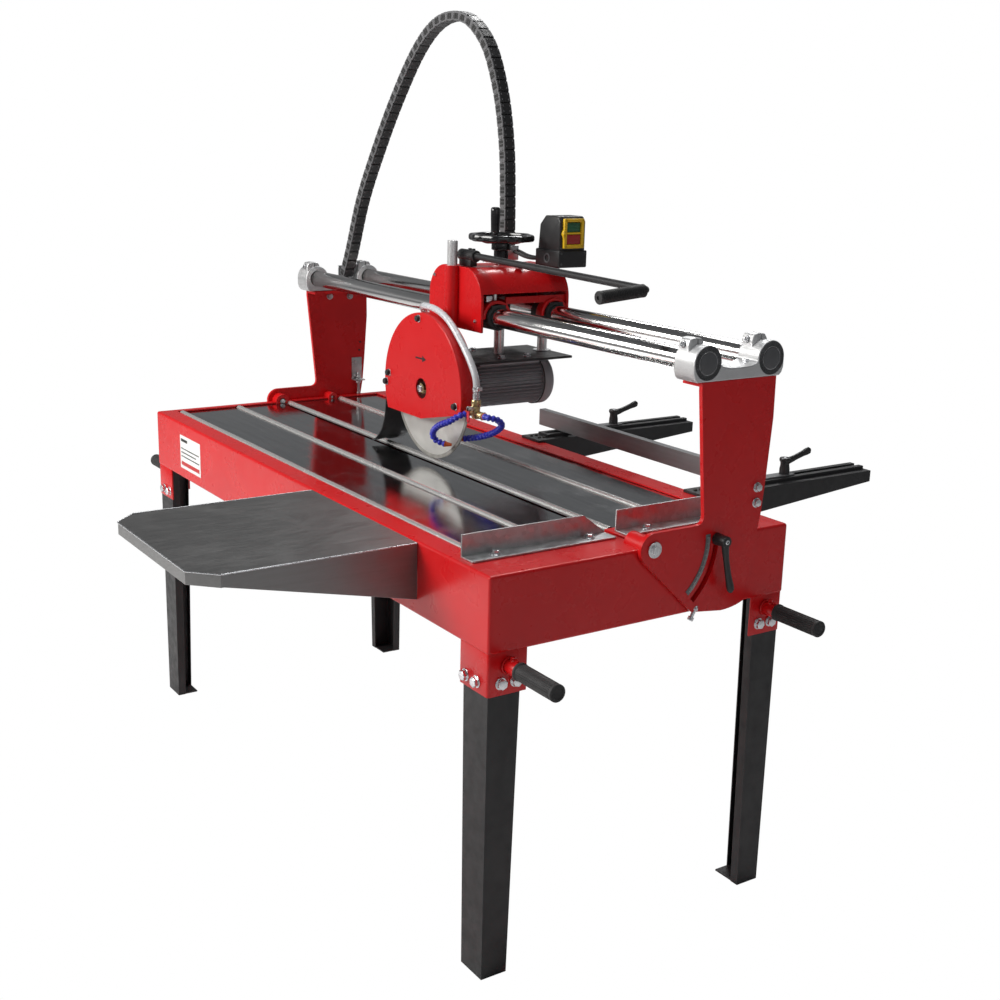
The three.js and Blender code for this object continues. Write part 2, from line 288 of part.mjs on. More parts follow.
// ---------- carriage (x measured from the carriage centre) ----------
{
  const D = (y0, y1) => {
    const s = new THREE.Shape(); const r = 74;
    s.moveTo(-CAR_HW, CAR_Z0); s.lineTo(CAR_HW, CAR_Z0); s.lineTo(CAR_HW, CAR_Z1 - r); s.absarc(CAR_HW - r, CAR_Z1 - r, r, 0, Math.PI / 2, false);
    s.lineTo(-CAR_HW + r, CAR_Z1); s.absarc(-CAR_HW + r, CAR_Z1 - r, r, Math.PI / 2, Math.PI, false);
    return prism("y", s, y0, y1, [], 4);
  };
  const shell = (() => { // top sheet following the D outline
    const s = new THREE.Shape(); const r = 74, q = 68, hw = CAR_HW, hi = CAR_HW - 6;
    s.moveTo(hw, 1246); s.lineTo(hw, CAR_Z1 - r); s.absarc(hw - r, CAR_Z1 - r, r, 0, Math.PI / 2, false); s.lineTo(-hw + r, CAR_Z1); s.absarc(-hw + r, CAR_Z1 - r, r, Math.PI / 2, Math.PI, false);
    s.lineTo(-hw, 1246); s.lineTo(-hi, 1246); s.lineTo(-hi, CAR_Z1 - r); s.absarc(-hi + q, CAR_Z1 - r, q, Math.PI, Math.PI / 2, true); s.lineTo(hi - q, CAR_Z1 - 6); s.absarc(hi - q, CAR_Z1 - r, q, Math.PI / 2, 0, true); s.lineTo(hi, 1246);
    return prism("y", s, CAR_Y0 + 4, CAR_Y1 - 4, [], 4);
  })();
  const guides = COL_Y.map((y) => rod("z", 18, CAR_Z0 + 4, CAR_Z1 + 2, 0, y, 18));
  const mid = [box(-CAR_HW + 8, CAR_HW - 8, 140, 250, 1247, 1255), box(-CAR_HW + 8, -CAR_HW + 14, 66, 316, 1245, 1264), box(CAR_HW - 14, CAR_HW - 8, 66, 316, 1245, 1264), rod("z", 20, 1225, 1250, 0, 195, 16)];
  let b = join(D(CAR_Y0, CAR_Y0 + 8), D(CAR_Y1 - 8, CAR_Y1), shell, ...guides, ...mid);
  for (const y of COL_Y) b = b.subtract(solid(rod("z", COL_R + 0.5, CAR_Z0 - 2, CAR_Z1 + 5, 0, y, 18)));
  b = b.subtract(solid(rod("z", 15.5, 1200, 1330 + 5, 0, 195, 16)));
  add(carriage, "carriage_body", b, RED);
  RAIL_Y.forEach((y, i) => {
    const blk = (x0, x1) => cut(join(rod("x", 31, x0, x1, y, RAIL_Z, 20), box(x0, x1, y - 20, y + 20, RAIL_Z + 10, RAIL_Z + 31.6)), box(x0 - 1, x1 + 1, y - 40, y + 40, RAIL_Z + 29.6, RAIL_Z + 60));
    const bar = cut(join(blk(-CAR_HW + 2, -CAR_HW + 62), blk(CAR_HW - 62, CAR_HW + 4), box(-CAR_HW + 50, CAR_HW - 50, y - 10, y + 10, RAIL_Z + 24, RAIL_Z + 29.6)), rod("x", RAIL_R + 0.5, -CAR_HW - 5, CAR_HW + 8, y, RAIL_Z, 24));
    add(carriage, i ? "rail_bearing_rear" : "rail_bearing_front", bar, BLACK);
  });
  // switch box on its base, with the two buttons facing the operator end
  const sb = join(box(43, 143, 268, 353, CAR_Z1 + 0.4, 1371), prism("y", [[48, 1370], [138, 1370], [138, 1440], [128, 1452], [76, 1452], [54, 1430]], 272, 349));
  add(carriage, "switch_box", cut(sb, box(127, 150, 286, 335, 1382, 1442)), PLASTIC);
  add(carriage, "start_button", box(133, 141, 290, 331, 1415, 1438), GREEN);
  add(carriage, "stop_button", box(133, 143, 290, 331, 1386, 1409), BUTTON_RED);
  // push handle: a long bar in a socket, ending in a cross grip
  const bar = join(rod("x", 14, -16, 52, 90, 1355, 14), box(-12, 40, 80, 100, CAR_Z1 + 0.4, 1350), solid(sweepBar()));
  function sweepBar() { return rod("x", 8, 40, 703, 90, 0, 12).applyMatrix4(new THREE.Matrix4().set(1, 0, 0, 0, 0, 1, 0, 0, -0.021, 0, 1, 1356.5, 0, 0, 0, 1)); }
  const cross = solid(rod("y", 8, -2, 98, 0, 0, 12)).add(solid(rod("y", 13.5, -42, 74, 0, 0, 14))).rotate([5, 0, 0]).translate([703, 0, 1335]);
  add(carriage, "push_handle", bar.add(cross).add(solid(new THREE.SphereGeometry(10, 12, 8).translate(703, 92, 1341.5))), BLACK);
  // handwheel with its spindle; the spindle runs in the nut tube of the head
  const wheel = (() => {
    const rim = new THREE.Shape(), hole = new THREE.Path();
    for (let i = 0; i < 40; i++) { const a = (i / 40) * Math.PI * 2, r = 80 + 3 * Math.cos(8 * a); i ? rim.lineTo(r * Math.cos(a), r * Math.sin(a)) : rim.moveTo(r, 0); }
    for (let i = 24; i >= 0; i--) { const a = (i / 24) * Math.PI * 2; i === 24 ? hole.moveTo(62, 0) : hole.lineTo(62 * Math.cos(a), 62 * Math.sin(a)); }
    let w = solid(prism("z", rim, 1386, 1403, [hole]));
    for (let k = 0; k < 3; k++) w = w.add(solid(box(10, 66, -9, 9, 1382, 1392)).rotate([0, 0, 20 + 120 * k]));
    return w.add(solid(rod("z", 24, 1362, 1393, 0, 0, 16))).add(solid(rod("z", 17, CAR_Z1 + 0.4, 1364, 0, 0, 16))).add(solid(rod("z", 8, 1185, 1365, 0, 0, 12)));
  })();
  add(carriage, "handwheel", wheel, BLACK, [0, 195, 0]);
  add(carriage, "crank_knob", rod("z", 9, 1403.4, 1464, 0, 0, 14, 11), BLACK, [-62, 195 + 22, 0]);
}
// ---------- cutting head ----------
{
  COL_Y.forEach((y, i) => add(head, i ? "guide_column_rear" : "guide_column_front", rod("z", COL_R, 1107, 1390, 0, 0, 18), CHROME, [0, y, 0]));
  add(head, "lift_nut_tube", cut(rod("z", 13, 1107, 1235, 0, 195, 16), rod("z", 8.7, 1112, 1240, 0, 195, 14)), CHROME);
  add(head, "motor_plate", join(box(-95, 105, 36, 348, 1100.4, 1106.6), rod("z", 9, 1104, 1125, -82, 48, 12)), BLACK);
  // finned motor with a smooth fan cover
  const fins = [];
  for (let k = 0; k < 24; k++) { const a = (k / 24) * 360; fins.push(solid(box(-1.6, 1.6, MOTOR_Y0 + 40, 296, MOTOR_R - 12, MOTOR_R)).rotate([0, a, 0])); }
  let motor = solid(rod("y", MOTOR_R - 8, MOTOR_Y0 + 30, 300, 0, 0, 24));
  for (const f of fins) motor = motor.add(f);
  motor = motor.add(solid(rod("y", MOTOR_R, 294, MOTOR_Y1, 0, 0, 24))).add(solid(rod("y", MOTOR_R - 2, MOTOR_Y0, MOTOR_Y0 + 42, 0, 0, 24))).add(solid(rod("y", 40, 20, MOTOR_Y0 + 2, 0, 0, 20)));
  motor = motor.add(solid(box(-46, 46, 110, 290, 50, 65))).translate([0, 0, BLADE_Z]);
  add(head, "motor", motor, MOTOR);
  // blade guard: a deep half-round cover, open below
  const g = (r, x0, x1, z0, z1, y0, y1, zr) => {
    const s = new THREE.Shape(); const c = [0, BLADE_Z];
    const aR = Math.asin((z1 - BLADE_Z) / r), aL = Math.PI - Math.asin((zr - BLADE_Z) / r);
    s.moveTo(Math.cos(aL) * r, zr); s.lineTo(0, zr); s.lineTo(Math.cos(aR) * r, z1);
    s.absarc(c[0], c[1], r, aR, aL, false);
    return prism("y", s, y0, y1, [], 14);
  };
  let guard = solid(g(184, 0, 0, 0, 1000, -30, 14, 960)).subtract(solid(g(180.5, 0, 0, 0, 990, -27, 11, 950)).translate([0, 0, 0]));
  guard = guard.subtract(solid(box(-190, 190, -27, 11, 900, 1003))).subtract(solid(rod("y", 25, -34, -24, BLADE_Z, 0, 20))).subtract(solid(rod("y", 30, 8, 20, BLADE_Z, 0, 20)));
  guard = guard.add(solid(box(-30, 30, 14, 19.6, 1066, 1112)));
  add(head, "blade_guard", guard, RED);
  // blade with its clamping flanges and nut, turning about Y
  const blade = join(rod("y", BLADE_R, -BLADE_T / 2, BLADE_T / 2, 0, 0, 60), rod("y", 22, -8, 8, 0, 0, 20), rod("y", 14, -20, -7, 0, 0, 6), rod("y", 9, -24, 17, 0, 0, 12));
  add(head, "diamond_blade", blade, STEEL, [0, 0, BLADE_Z]);
  // rubber splash flap behind the blade
  const fl = [[-186, 1003], [-190, 960], [-196, 926], [-210, 894], [-238, 866], [-262, 857]];
  add(head, "splash_flap", prism("y", strip(fl, 4), -25, 62), RUBBER);
  // water: clear hose over the guard, ball valve, two segmented spray hoses
  add(head, "water_hose", sweep([[-82, 48, 1125.8], [-82, 48, 1150], [-82, 42, 1182], [-80, 26, 1207], [-58, 6, 1226], [-20, -8, 1233], [29, -8, 1230], [82, -8, 1213], [140, -8, 1172], [189, -8, 1124], [211, -8, 1092], [215, -8, 1074], [215, -8, 1060.5]], 8, 26, 10), CLEAR);
  const vb = join(rod("z", 9, 1016, 1059.6, 215, -8, 10, 7), rod("x", 9, 186, 250, -8, 1008, 10), rod("z", 11, 998, 1022, 215, -8, 8), rod("y", 5, -26, -8, 1022, 215, 8), box(196, 206, -14, -2, 1008, 1040));
  add(head, "water_valve", vb, BRASS);
  add(head, "valve_lever", join(box(-5, 5, -4, 0, -34, 4), rod("y", 6, -4, 0, 0, 0, 8)), BUTTON_RED, [215, -26.6, 1022]);
  add(head, "spray_hose_front", sweep([[194, -20, 1006], [190, -36, 1002], [168, -50, 986], [122, -54, 966], [92, -50, 944], [84, -40, 926], [100, -26, 917], [116, -12, 915]], 7, 24, 8), BLUE);
  add(head, "spray_hose_rear", sweep([[251, -8, 1008], [262, -8, 1008], [272, 14, 1002], [262, 34, 986], [225, 40, 962], [175, 34, 942], [138, 22, 932], [114, 10, 926]], 7, 24, 8), BLUE);
}

export default root;
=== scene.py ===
# Bridge-type wet saw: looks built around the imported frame. Metres, same frame as the CAD.
import bpy, bmesh, json, math, random
import numpy as np
from mathutils import Vector, Matrix

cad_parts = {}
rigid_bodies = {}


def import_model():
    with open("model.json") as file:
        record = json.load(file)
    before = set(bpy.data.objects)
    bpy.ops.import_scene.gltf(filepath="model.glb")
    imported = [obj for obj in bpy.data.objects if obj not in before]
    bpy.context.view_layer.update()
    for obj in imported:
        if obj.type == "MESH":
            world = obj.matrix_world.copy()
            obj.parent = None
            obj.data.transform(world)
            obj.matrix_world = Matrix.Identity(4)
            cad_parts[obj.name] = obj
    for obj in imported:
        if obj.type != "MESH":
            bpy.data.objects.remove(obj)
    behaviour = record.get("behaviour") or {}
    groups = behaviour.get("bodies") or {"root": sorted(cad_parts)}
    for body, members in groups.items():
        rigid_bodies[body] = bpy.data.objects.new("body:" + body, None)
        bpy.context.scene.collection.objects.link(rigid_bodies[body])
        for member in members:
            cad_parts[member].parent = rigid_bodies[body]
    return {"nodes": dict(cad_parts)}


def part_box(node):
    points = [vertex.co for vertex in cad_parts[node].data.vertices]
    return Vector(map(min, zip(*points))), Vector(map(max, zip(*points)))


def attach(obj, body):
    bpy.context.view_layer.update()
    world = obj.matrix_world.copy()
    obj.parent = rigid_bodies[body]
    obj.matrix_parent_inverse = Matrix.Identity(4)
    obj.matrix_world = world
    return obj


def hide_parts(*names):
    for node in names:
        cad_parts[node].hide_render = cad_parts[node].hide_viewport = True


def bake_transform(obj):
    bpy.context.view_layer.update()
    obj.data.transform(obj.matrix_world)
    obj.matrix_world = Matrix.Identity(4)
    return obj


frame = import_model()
for o in [o for o in bpy.data.objects if o.name in ("Cube", "Light", "Camera")]: bpy.data.objects.remove(o)
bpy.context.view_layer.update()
scene = bpy.context.scene
random.seed(4); rng = np.random.default_rng(4)
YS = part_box("tub_front_panel")[0].y * 1000 + 381.0  # millimetres from the tub's own centre to the row frame
XS = (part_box("tub_front_panel")[0].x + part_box("tub_front_panel")[1].x) * 500
def P(x, y, z): return Vector(((x + XS) / 1000, (y + YS) / 1000, z / 1000))
X, Y, Z = Vector((1, 0, 0)), Vector((0, 1, 0)), Vector((0, 0, 1))
DEG = math.radians

# ------------------------------------------------------------------ camera, lights, floor
def setup_stage():
    cam = bpy.data.objects.new("camera", bpy.data.cameras.new("camera"))
    scene.collection.objects.link(cam)
    a, e, r = DEG(56.08), DEG(14.9), DEG(1.46)
    back = Vector((math.sin(a) * math.cos(e), -math.cos(a) * math.cos(e), math.sin(e)))
    right = Vector((math.cos(a), math.sin(a), 0)); up = back.cross(right)
    right2 = right * math.cos(r) + up * math.sin(r); up2 = -right * math.sin(r) + up * math.cos(r)
    m = Matrix((right2, up2, back)).transposed().to_4x4(); m.translation = P(2858.2, -1696.7, 1631.46)
    cam.matrix_world = m
    cam.data.sensor_width = 36; cam.data.lens = 36 * 1360.51 / 1000; cam.data.clip_end = 60
    scene.camera = cam
    def area(name, loc, target, size, power, color=(1, 1, 1), size_y=None):
        l = bpy.data.lights.new(name, "AREA"); l.energy = power; l.size = size; l.color = color
        if size_y: l.shape = "RECTANGLE"; l.size_y = size_y
        o = bpy.data.objects.new(name, l); scene.collection.objects.link(o)
        o.location = loc; o.rotation_euler = (Vector(target) - Vector(loc)).to_track_quat("-Z", "Y").to_euler()
        return o
    area("key", (-1.6, -4.4, 3.2), (0, 0, 0.9), 3.0, 270, (1, 0.985, 0.96), 2.0)
    area("fill", (4.8, -0.4, 2.4), (0, 0, 0.9), 2.0, 9, (0.95, 0.97, 1))
    area("top", (0.2, 0.2, 4.8), (0, 0, 0.8), 3.0, 62, (1, 1, 1), 1.6)
    area("rim", (-3.0, 3.6, 5.4), (0, 0, 1.0), 2.4, 120, (1, 1, 1), 0.8)
    w = bpy.data.worlds.new("studio"); scene.world = w; w.use_nodes = True
    nt = w.node_tree; nt.nodes.clear()
    out = nt.nodes.new("ShaderNodeOutputWorld"); bg = nt.nodes.new("ShaderNodeBackground")
    tc = nt.nodes.new("ShaderNodeTexCoord"); sep = nt.nodes.new("ShaderNodeSeparateXYZ"); ramp = nt.nodes.new("ShaderNodeValToRGB")
    nt.links.new(tc.outputs["Generated"], sep.inputs[0])
    mp = nt.nodes.new("ShaderNodeMapRange"); mp.inputs[1].default_value = -1; mp.inputs[2].default_value = 1
    nt.links.new(sep.outputs[2], mp.inputs[0]); nt.links.new(mp.outputs[0], ramp.inputs[0])
    el = ramp.color_ramp.elements
    el[0].position = 0.0; el[0].color = (0.62, 0.62, 0.63, 1); el[1].position = 1.0; el[1].color = (0.16, 0.165, 0.175, 1)
    for p, c in ((0.47, (0.60, 0.60, 0.61, 1)), (0.53, (0.90, 0.90, 0.91, 1)), (0.60, (0.42, 0.43, 0.44, 1)), (0.75, (0.30, 0.305, 0.315, 1))):
        k = el.new(p); k.color = c
    lp = nt.nodes.new("ShaderNodeLightPath"); bg2 = nt.nodes.new("ShaderNodeBackground"); mix = nt.nodes.new("ShaderNodeMixShader")
    bg2.inputs[0].default_value = (1.0, 1.0, 1.0, 1); bg2.inputs[1].default_value = 1.0
    nt.links.new(ramp.outputs[0], bg.inputs[0]); bg.inputs[1].default_value = 0.36
    nt.links.new(lp.outputs["Is Camera Ray"], mix.inputs[0]); nt.links.new(bg.outputs[0], mix.inputs[1]); nt.links.new(bg2.outputs[0], mix.inputs[2])
    nt.links.new(mix.outputs[0], out.inputs[0])
    me = bpy.data.meshes.new("floor")
    me.from_pydata([(-14, -14, 0), (14, -14, 0), (14, 14, 0), (-14, 14, 0)], [], [(0, 1, 2, 3)])
    fl = bpy.data.objects.new("floor", me); scene.collection.objects.link(fl)
    fm = bpy.data.materials.new("floor"); fm.use_nodes = True
    b = fm.node_tree.nodes["Principled BSDF"]; b.inputs["Base Color"].default_value = (0.86, 0.86, 0.865, 1); b.inputs["Roughness"].default_value = 0.75
    me.materials.append(fm)
    fl.location.z = -0.0005; fl.visible_camera = False
    scene.view_settings.view_transform = "Standard"
    scene.view_settings.look = "None"
    scene.view_settings.exposure = 0.0
setup_stage()

# ------------------------------------------------------------------ materials
MATS = {}
def material(name, rgb, rough, metal=0.0, var=0.10, var_scale=7.0, rvar=0.10, rscale=35.0, bump=0.10, bscale=600.0, stretch=(1, 1, 1),
             wear=None, wear_amt=0.5, coat=0.0, coat_rough=0.1, spec=0.5, smudge=0.0, dirt=0.0, sheen=0.0, transmission=0.0, ior=1.45, spangle=0.0, pitch=None, alpha=None, wear_r=0.0025):
    m = bpy.data.materials.new(name); m.use_nodes = True
    nt = m.node_tree; N, L = nt.nodes, nt.links
    b = N["Principled BSDF"]
    b.inputs["Metallic"].default_value = metal
    b.inputs["Specular IOR Level"].default_value = spec
    b.inputs["Coat Weight"].default_value = coat; b.inputs["Coat Roughness"].default_value = coat_rough
    b.inputs["Transmission Weight"].default_value = transmission; b.inputs["IOR"].default_value = ior
    if sheen: b.inputs["Sheen Weight"].default_value = sheen
    if alpha is not None: b.inputs["Alpha"].default_value = alpha
    tc = N.new("ShaderNodeTexCoord")
    def noise(scale, detail=3.0, st=None, rg=0.55):
        n = N.new("ShaderNodeTexNoise"); n.inputs["Scale"].default_value = scale; n.inputs["Detail"].default_value = detail; n.inputs["Roughness"].default_value = rg
        if st and tuple(st) != (1, 1, 1):
            mp = N.new("ShaderNodeMapping"); mp.inputs["Scale"].default_value = st
            L.new(tc.outputs["Object"], mp.inputs[0]); L.new(mp.outputs[0], n.inputs["Vector"])
        else: L.new(tc.outputs["Object"], n.inputs["Vector"])
        return n
    def mrange(src, a, c, lo=0.3, hi=0.7):
        r = N.new("ShaderNodeMapRange"); r.inputs[1].default_value = lo; r.inputs[2].default_value = hi; r.inputs[3].default_value = a; r.inputs[4].default_value = c
        L.new(src, r.inputs[0]); return r.outputs[0]
    def mixc(fac, a, c):
        x = N.new("ShaderNodeMix"); x.data_type = "RGBA"
        if isinstance(fac, (int, float)): x.inputs[0].default_value = fac
        else: L.new(fac, x.inputs[0])
        for i, v in ((6, a), (7, c)):
            if isinstance(v, (tuple, list)): x.inputs[i].default_value = (*v[:3], 1)
            else: L.new(v, x.inputs[i])
        return x.outputs[2]
    lo = tuple(max(0, c * (1 - var)) for c in rgb); hi = tuple(min(1, c * (1 + var)) for c in rgb)
    n1 = noise(var_scale, 4.0, stretch if metal > 0.5 else None)
    col = mixc(mrange(n1.outputs[0], 0, 1), lo, hi)
    n2 = noise(rscale, 4.0, stretch)
    rg = mrange(n2.outputs[0], max(0.02, rough - rvar * 0.5), min(1, rough + rvar))
    if spangle:
        v = N.new("ShaderNodeTexVoronoi"); v.inputs["Scale"].default_value = 90; L.new(tc.outputs["Object"], v.inputs["Vector"])
        s = N.new("ShaderNodeSeparateColor"); L.new(v.outputs["Color"], s.inputs[0])
        col = mixc(mrange(s.outputs[0], 0, spangle, 0, 1), col, tuple(c * 0.55 for c in rgb))
        ad = N.new("ShaderNodeMath"); ad.operation = "MULTIPLY_ADD"; ad.inputs[1].default_value = 0.18; L.new(s.outputs[1], ad.inputs[0]); L.new(rg, ad.inputs[2]); rg = ad.outputs[0]
    if smudge:
        n3 = noise(11.0, 6.0, None, 0.65)
        ad = N.new("ShaderNodeMath"); ad.operation = "MULTIPLY_ADD"; ad.inputs[1].default_value = smudge
        L.new(mrange(n3.outputs[0], 0, 1, 0.48, 0.72), ad.inputs[0]); L.new(rg, ad.inputs[2]); rg = ad.outputs[0]
    if dirt:
        n4 = noise(16.0, 5.0, None, 0.7)
        col = mixc(mrange(n4.outputs[0], 0, dirt, 0.5, 0.8), col, tuple(c * 0.35 + 0.02 for c in rgb))
    if wear is not None:
        bv = N.new("ShaderNodeBevel"); bv.samples = 4; bv.inputs["Radius"].default_value = wear_r
        ge = N.new("ShaderNodeNewGeometry"); dt = N.new("ShaderNodeVectorMath"); dt.operation = "DOT_PRODUCT"
        L.new(bv.outputs[0], dt.inputs[0]); L.new(ge.outputs["Normal"], dt.inputs[1])
        edge = mrange(dt.outputs["Value"], 1, 0, 0.90, 0.995)
        n5 = noise(70.0, 5.0, None, 0.7)
        ml = N.new("ShaderNodeMath"); ml.operation = "MULTIPLY"; L.new(edge, ml.inputs[0]); L.new(mrange(n5.outputs[0], 0.15, wear_amt, 0.40, 0.68), ml.inputs[1])
        col = mixc(ml.outputs[0], col, wear)
    L.new(col, b.inputs["Base Color"]); L.new(rg, b.inputs["Roughness"])
    if bump:
        nb = noise(bscale, 3.0, stretch)
        bp = N.new("ShaderNodeBump"); bp.inputs["Strength"].default_value = bump; bp.inputs["Distance"].default_value = 0.0008
        L.new(nb.outputs[0], bp.inputs["Height"])
        if pitch:  # no rings or ribs are made here
            pass
        L.new(bp.outputs[0], b.inputs["Normal"])
    MATS[name] = m
    return m
RED = material("red_powder_coat", (0.60, 0.008, 0.010), 0.27, 0, var=0.06, var_scale=3.0, rvar=0.08, rscale=14, bump=0.07, bscale=420, wear=(0.74, 0.05, 0.045), wear_amt=0.35, coat=0.12, coat_rough=0.12, spec=0.36, wear_r=0.0012)
BLACK = material("black_powder_coat", (0.016, 0.016, 0.017), 0.42, 0, var=0.20, rvar=0.14, bump=0.35, bscale=900, wear=(0.075, 0.075, 0.078), wear_amt=0.9, dirt=0.15)
POLISHED = material("polished_stainless", (0.50, 0.505, 0.515), 0.085, 1, var=0.10, var_scale=5, rvar=0.05, rscale=30, bump=0.035, bscale=260, stretch=(1.0, 14, 14), smudge=0.13)
BRUSHED = material("brushed_stainless", (0.235, 0.234, 0.232), 0.38, 1, var=0.04, var_scale=5, rvar=0.10, rscale=22, bump=0.06, bscale=300, stretch=(16, 1.0, 16), smudge=0.08, wear=(0.62, 0.63, 0.65), wear_amt=0.8, wear_r=0.0012)
CHROME = material("hard_chrome", (0.86, 0.85, 0.84), 0.10, 1, var=0.05, rvar=0.05, rscale=60, bump=0.03, bscale=240, stretch=(1, 30, 30), smudge=0.06)
CHROME_V = material("ground_column", (0.90, 0.90, 0.90), 0.26, 0.75, var=0.06, rvar=0.08, bump=0.04, bscale=300, stretch=(30, 30, 1), smudge=0.06)
ZINC = material("zinc_plate", (0.74, 0.75, 0.77), 0.24, 1, var=0.10, rvar=0.12, rscale=80, bump=0.10, bscale=500, dirt=0.25)
GALV = material("galvanised_sheet", (0.56, 0.57, 0.575), 0.33, 1, var=0.08, rvar=0.10, bump=0.06, bscale=220, spangle=0.35, dirt=0.12)
CAST = material("cast_aluminium", (0.62, 0.625, 0.63), 0.46, 0.85, var=0.10, rvar=0.14, rscale=120, bump=0.55, bscale=330, wear=(0.70, 0.70, 0.71), wear_amt=0.7, dirt=0.22)
GREY = material("grey_fence_coat", (0.20, 0.203, 0.208), 0.38, 0.55, var=0.10, rvar=0.12, bump=0.10, bscale=400, stretch=(1, 12, 12), dirt=0.15)
MOTOR = material("motor_enamel", (0.42, 0.42, 0.44), 0.40, 0.30, var=0.16, rvar=0.14, bump=0.25, bscale=420, wear=(0.20, 0.20, 0.205), wear_amt=0.7, dirt=0.10)
COWL = material("motor_cowl", (0.36, 0.36, 0.375), 0.38, 0.35, var=0.12, rvar=0.12, bump=0.16, bscale=500, dirt=0.2)
RUBBER = material("black_rubber", (0.018, 0.018, 0.0185), 0.60, 0, var=0.25, rvar=0.16, bump=0.4, bscale=520, dirt=0.25, sheen=0.08)
FLAP = material("flap_rubber", (0.022, 0.022, 0.023), 0.52, 0, var=0.25, var_scale=14, rvar=0.18, bump=0.45, bscale=160, dirt=0.35)
PLASTIC = material("black_plastic", (0.020, 0.020, 0.021), 0.34, 0, var=0.15, rvar=0.12, bump=0.30, bscale=900, wear=(0.06, 0.06, 0.062), wear_amt=0.6, dirt=0.12)
GLOSSP = material("gloss_black_plastic", (0.013, 0.013, 0.014), 0.16, 0, var=0.15, rvar=0.12, bump=0.08, bscale=300, coat=0.3)
CHAINGREY = material("chain_side_plate", (0.13, 0.13, 0.135), 0.46, 0, var=0.22, rvar=0.14, bump=0.25, bscale=600, dirt=0.3)
DKGREY = material("grey_end_plug", (0.085, 0.087, 0.092), 0.50, 0, var=0.10, rvar=0.12, bump=0.35, bscale=700)
YELLOW = material("yellow_plastic", (0.80, 0.50, 0.015), 0.34, 0, var=0.05, rvar=0.10, bump=0.12, bscale=700, dirt=0.10)
GREEN = material("green_button", (0.020, 0.13, 0.055), 0.26, 0, var=0.10, rvar=0.10, bump=0.08, bscale=500, coat=0.3)
REDB = material("red_button", (0.36, 0.018, 0.018), 0.28, 0, var=0.10, rvar=0.10, bump=0.08, bscale=500, coat=0.3)
BLUE = material("blue_hose_plastic", (0.022, 0.026, 0.42), 0.30, 0, var=0.16, var_scale=30, rvar=0.12, bump=0.15, bscale=500, coat=0.15)
ORANGE = material("orange_fitting", (0.52, 0.085, 0.018), 0.36, 0, var=0.14, rvar=0.12, bump=0.15, bscale=500)
BRASS = material("brass", (0.62, 0.47, 0.24), 0.26, 1, var=0.14, rvar=0.14, rscale=90, bump=0.15, bscale=420, dirt=0.25)
CLEAR = material("clear_hose_pvc", (0.74, 0.77, 0.80), 0.22, 0, var=0.07, rvar=0.10, bump=0.10, bscale=260, transmission=0.30, ior=1.5, coat=0.5, coat_rough=0.08)
BLADE = material("blade_core", (0.78, 0.77, 0.73), 0.36, 0.7, var=0.08, var_scale=9, rvar=0.10, bump=0.06, bscale=300, dirt=0.10, smudge=0.1)
RIMM = material("diamond_rim", (0.28, 0.27, 0.25), 0.62, 0.6, var=0.25, var_scale=60, rvar=0.2, bump=0.8, bscale=900)
WHITE = material("white_label", (0.80, 0.80, 0.79), 0.42, 0, var=0.04, rvar=0.08, bump=0.04, bscale=300)
# black used for print, and also as painted shade in the chain plate slots and the left upright's pin holes
INK_AND_SHADE = material("black_ink_and_painted_shade", (0.012, 0.012, 0.012), 0.5, 0, var=0.2, rvar=0.1, bump=0.05, bscale=300)
REDINK = material("red_ink", (0.50, 0.03, 0.03), 0.45, 0, var=0.08, rvar=0.1, bump=0.05, bscale=300)
SCALE = material("scale_plate", (0.16, 0.165, 0.17), 0.45, 0.4, var=0.08, rvar=0.1, bump=0.06, bscale=300)
REDLEVER = material("red_vinyl", (0.55, 0.018, 0.03), 0.26, 0, var=0.07, rvar=0.1, bump=0.06, bscale=300, coat=0.3)
DARKSTEEL = material("blackened_steel", (0.060, 0.056, 0.052), 0.36, 0.6, var=0.18, rvar=0.14, bump=0.14, bscale=350, stretch=(1, 14, 14), dirt=0.2)

# ------------------------------------------------------------------ mesh helpers (arguments in millimetres)
def to_object(bm, name, mats, body, sharp=32, replaces=()):
    bmesh.ops.remove_doubles(bm, verts=bm.verts, dist=1e-6)
    bmesh.ops.recalc_face_normals(bm, faces=bm.faces)
    me = bpy.data.meshes.new(name); bm.to_mesh(me); bm.free()
    for m in (mats if isinstance(mats, (list, tuple)) else [mats]): me.materials.append(m)
    me.shade_smooth(); me.set_sharp_from_angle(angle=DEG(sharp))
    ob = bpy.data.objects.new(name, me); scene.collection.objects.link(ob)
    if body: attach(ob, body)
    if replaces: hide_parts(*replaces)
    return ob
def merge(bm, tmp, mat=0, matrix=None):
    if matrix is not None: bmesh.ops.transform(tmp, matrix=matrix, verts=tmp.verts)
    bmesh.ops.recalc_face_normals(tmp, faces=tmp.faces)
    for f in tmp.faces:
        if mat is not None: f.material_index = mat
    me = bpy.data.meshes.new("t"); tmp.to_mesh(me); tmp.free(); bm.from_mesh(me); bpy.data.meshes.remove(me)
def bev(tmp, w, seg=2, ang=28):
    if w <= 0: return
    bmesh.ops.dissolve_limit(tmp, angle_limit=DEG(0.5), verts=tmp.verts, edges=tmp.edges)
    e = [x for x in tmp.edges if len(x.link_faces) == 2 and x.calc_face_angle(0) > DEG(ang)]
    bmesh.ops.bevel(tmp, geom=e, offset=w / 1000, segments=seg, profile=0.5, affect="EDGES", clamp_overlap=True)
def add_box(bm, x0, x1, y0, y1, z0, z1, bevel=1.0, mat=0, seg=2, matrix=None):
    t = bmesh.new(); a, b = P(x0, y0, z0), P(x1, y1, z1)
    bmesh.ops.create_cube(t, size=1, matrix=Matrix.Translation((a + b) / 2) @ Matrix.Diagonal((abs(b.x - a.x), abs(b.y - a.y), abs(b.z - a.z), 1)))
    bev(t, bevel, seg); merge(bm, t, mat, matrix)
